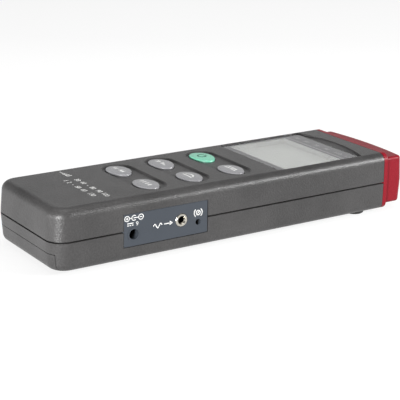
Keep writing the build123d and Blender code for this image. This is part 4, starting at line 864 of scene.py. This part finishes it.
class METER_OT_case_screws(bpy.types.Operator):
    """Four cross-recessed pan-head screws that hold the two shells together"""
    bl_idname = "meter.case_screws"
    bl_label = "Case screws"

    def execute(self, context):
        s = context.scene.meter_sizes
        low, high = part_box("case_screws")
        middle, thread_share = (low.y + high.y) / 2, 0.3    # thread's depth, by its pitch
        spots = {}
        for v in frame["nodes"]["case_screws"].data.vertices:
            spots.setdefault((v.co.x > 0, v.co.y > middle), []).append(v.co)
        points = []
        # The middles of the plain screws' boxes, one screw in each quarter.
        for _, group in sorted(spots.items()):
            xs, ys = [v.x for v in group], [v.y for v in group]
            points.append(((min(xs) + max(xs)) / 2, (min(ys) + max(ys)) / 2,
                           low.z + s.screw_head_height))
        radius = (max(xs) - min(xs)) / 2        # all the heads are alike
        material = frame["nodes"]["case_screws"].material_slots[0].material
        piece = grow("pan_head_case_screws", points, screw_tree(material), {
            "Head Radius": radius, "Head Height": s.screw_head_height,
            "Shank Radius": s.screw_shank_radius, "Length": high.z - points[0][2],
            "Thread Pitch": s.screw_pitch, "Thread Depth": s.screw_pitch * thread_share})
        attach(piece, HOUSING)
        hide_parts("case_screws")
        return {"FINISHED"}


class METER_OT_tripod_insert(bpy.types.Operator):
    """Brass insert in the back with the 1/4 inch thread of a camera tripod"""
    bl_idname = "meter.tripod_insert"
    bl_label = "Tripod insert"

    def execute(self, context):
        s = context.scene.meter_sizes
        low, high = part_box("tripod_insert")
        outer, centre = (high.x - low.x) / 2, ((low.x + high.x) / 2, (low.y + high.y) / 2)
        around, per_turn, chamfer, bevel = 64, 10, 0.3 * MM, 0.5 * MM
        count = round((high.z - low.z) / s.thread_pitch * per_turn)
        bm = bmesh.new()
        columns = []
        for i in range(around):
            turn = i / around
            loop = [(outer - chamfer, low.z), (outer, low.z + chamfer), (outer, high.z - bevel),
                    (outer - bevel, high.z)]
            for k in range(count + 1):
                z = high.z + (low.z - high.z) * k / count
                phase = ((z - low.z) / s.thread_pitch - turn) % 1.0
                tooth = 1.0 - abs(2.0 * phase - 1.0)
                # The thread runs out into a plain lead-in at both mouths.
                fade = min(1.0, (high.z - z) / s.thread_pitch, (z - low.z) / s.thread_pitch)
                radius = s.thread_core + s.thread_depth * (1.0 - fade * (1.0 - tooth))
                loop.append((radius, z))
            a = 2.0 * math.pi * turn
            columns.append([bm.verts.new((centre[0] + r * math.cos(a), centre[1] + r * math.sin(a),
                                          z)) for r, z in loop])
        corners = len(columns[0])
        for a, b in zip(columns, columns[1:] + columns[:1]):
            for k in range(corners):
                j = (k + 1) % corners
                bm.faces.new((a[k], b[k], b[j], a[j]))
        bmesh.ops.recalc_face_normals(bm, faces=bm.faces)
        mesh = bpy.data.meshes.new("threaded_tripod_insert")
        bm.to_mesh(mesh)
        bm.free()
        mesh.materials.append(frame["nodes"]["tripod_insert"].material_slots[0].material)
        piece = bpy.data.objects.new("threaded_tripod_insert", mesh)
        context.scene.collection.objects.link(piece)
        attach(piece, HOUSING)
        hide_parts("tripod_insert")
        return {"FINISHED"}


# --- Registration ---------------------------------------------------------------------------
class METER_PT_panel(bpy.types.Panel):
    """Lists the properties and the steps that finish the meter"""
    bl_idname = "METER_PT_panel"
    bl_label = "Sound level meter"
    bl_space_type = "VIEW_3D"
    bl_region_type = "UI"
    bl_category = "Meter"

    def draw(self, context):
        for group in (context.scene.meter_colours, context.scene.meter_sizes,
                      context.scene.meter_studio):
            box = self.layout.box()
            for name in group.__annotations__:
                box.prop(group, name)
        for step in STEPS:
            self.layout.operator(step.bl_idname)


GROUPS = {"meter_colours": MeterColours, "meter_sizes": MeterSizes, "meter_studio": MeterStudio}
STEPS = (METER_OT_stage, METER_OT_finishes, METER_OT_front_print, METER_OT_key_marks,
         METER_OT_panel_marks, METER_OT_display, METER_OT_case_screws, METER_OT_tripod_insert)


def register():
    """Adds the classes, and the properties to the scene."""
    for cls in (*GROUPS.values(), *STEPS, METER_PT_panel):
        bpy.utils.register_class(cls)
    for name, cls in GROUPS.items():
        setattr(bpy.types.Scene, name, bpy.props.PointerProperty(type=cls))


def unregister():
    """Takes the properties and the classes away again."""
    for name in GROUPS:
        delattr(bpy.types.Scene, name)
    for cls in (METER_PT_panel, *reversed(STEPS), *GROUPS.values()):
        bpy.utils.unregister_class(cls)


def main():
    """Runs every step in order."""
    register()
    for step in STEPS:
        family, name = step.bl_idname.split(".")
        getattr(getattr(bpy.ops, family), name)()


if __name__ == "__main__":
    main()
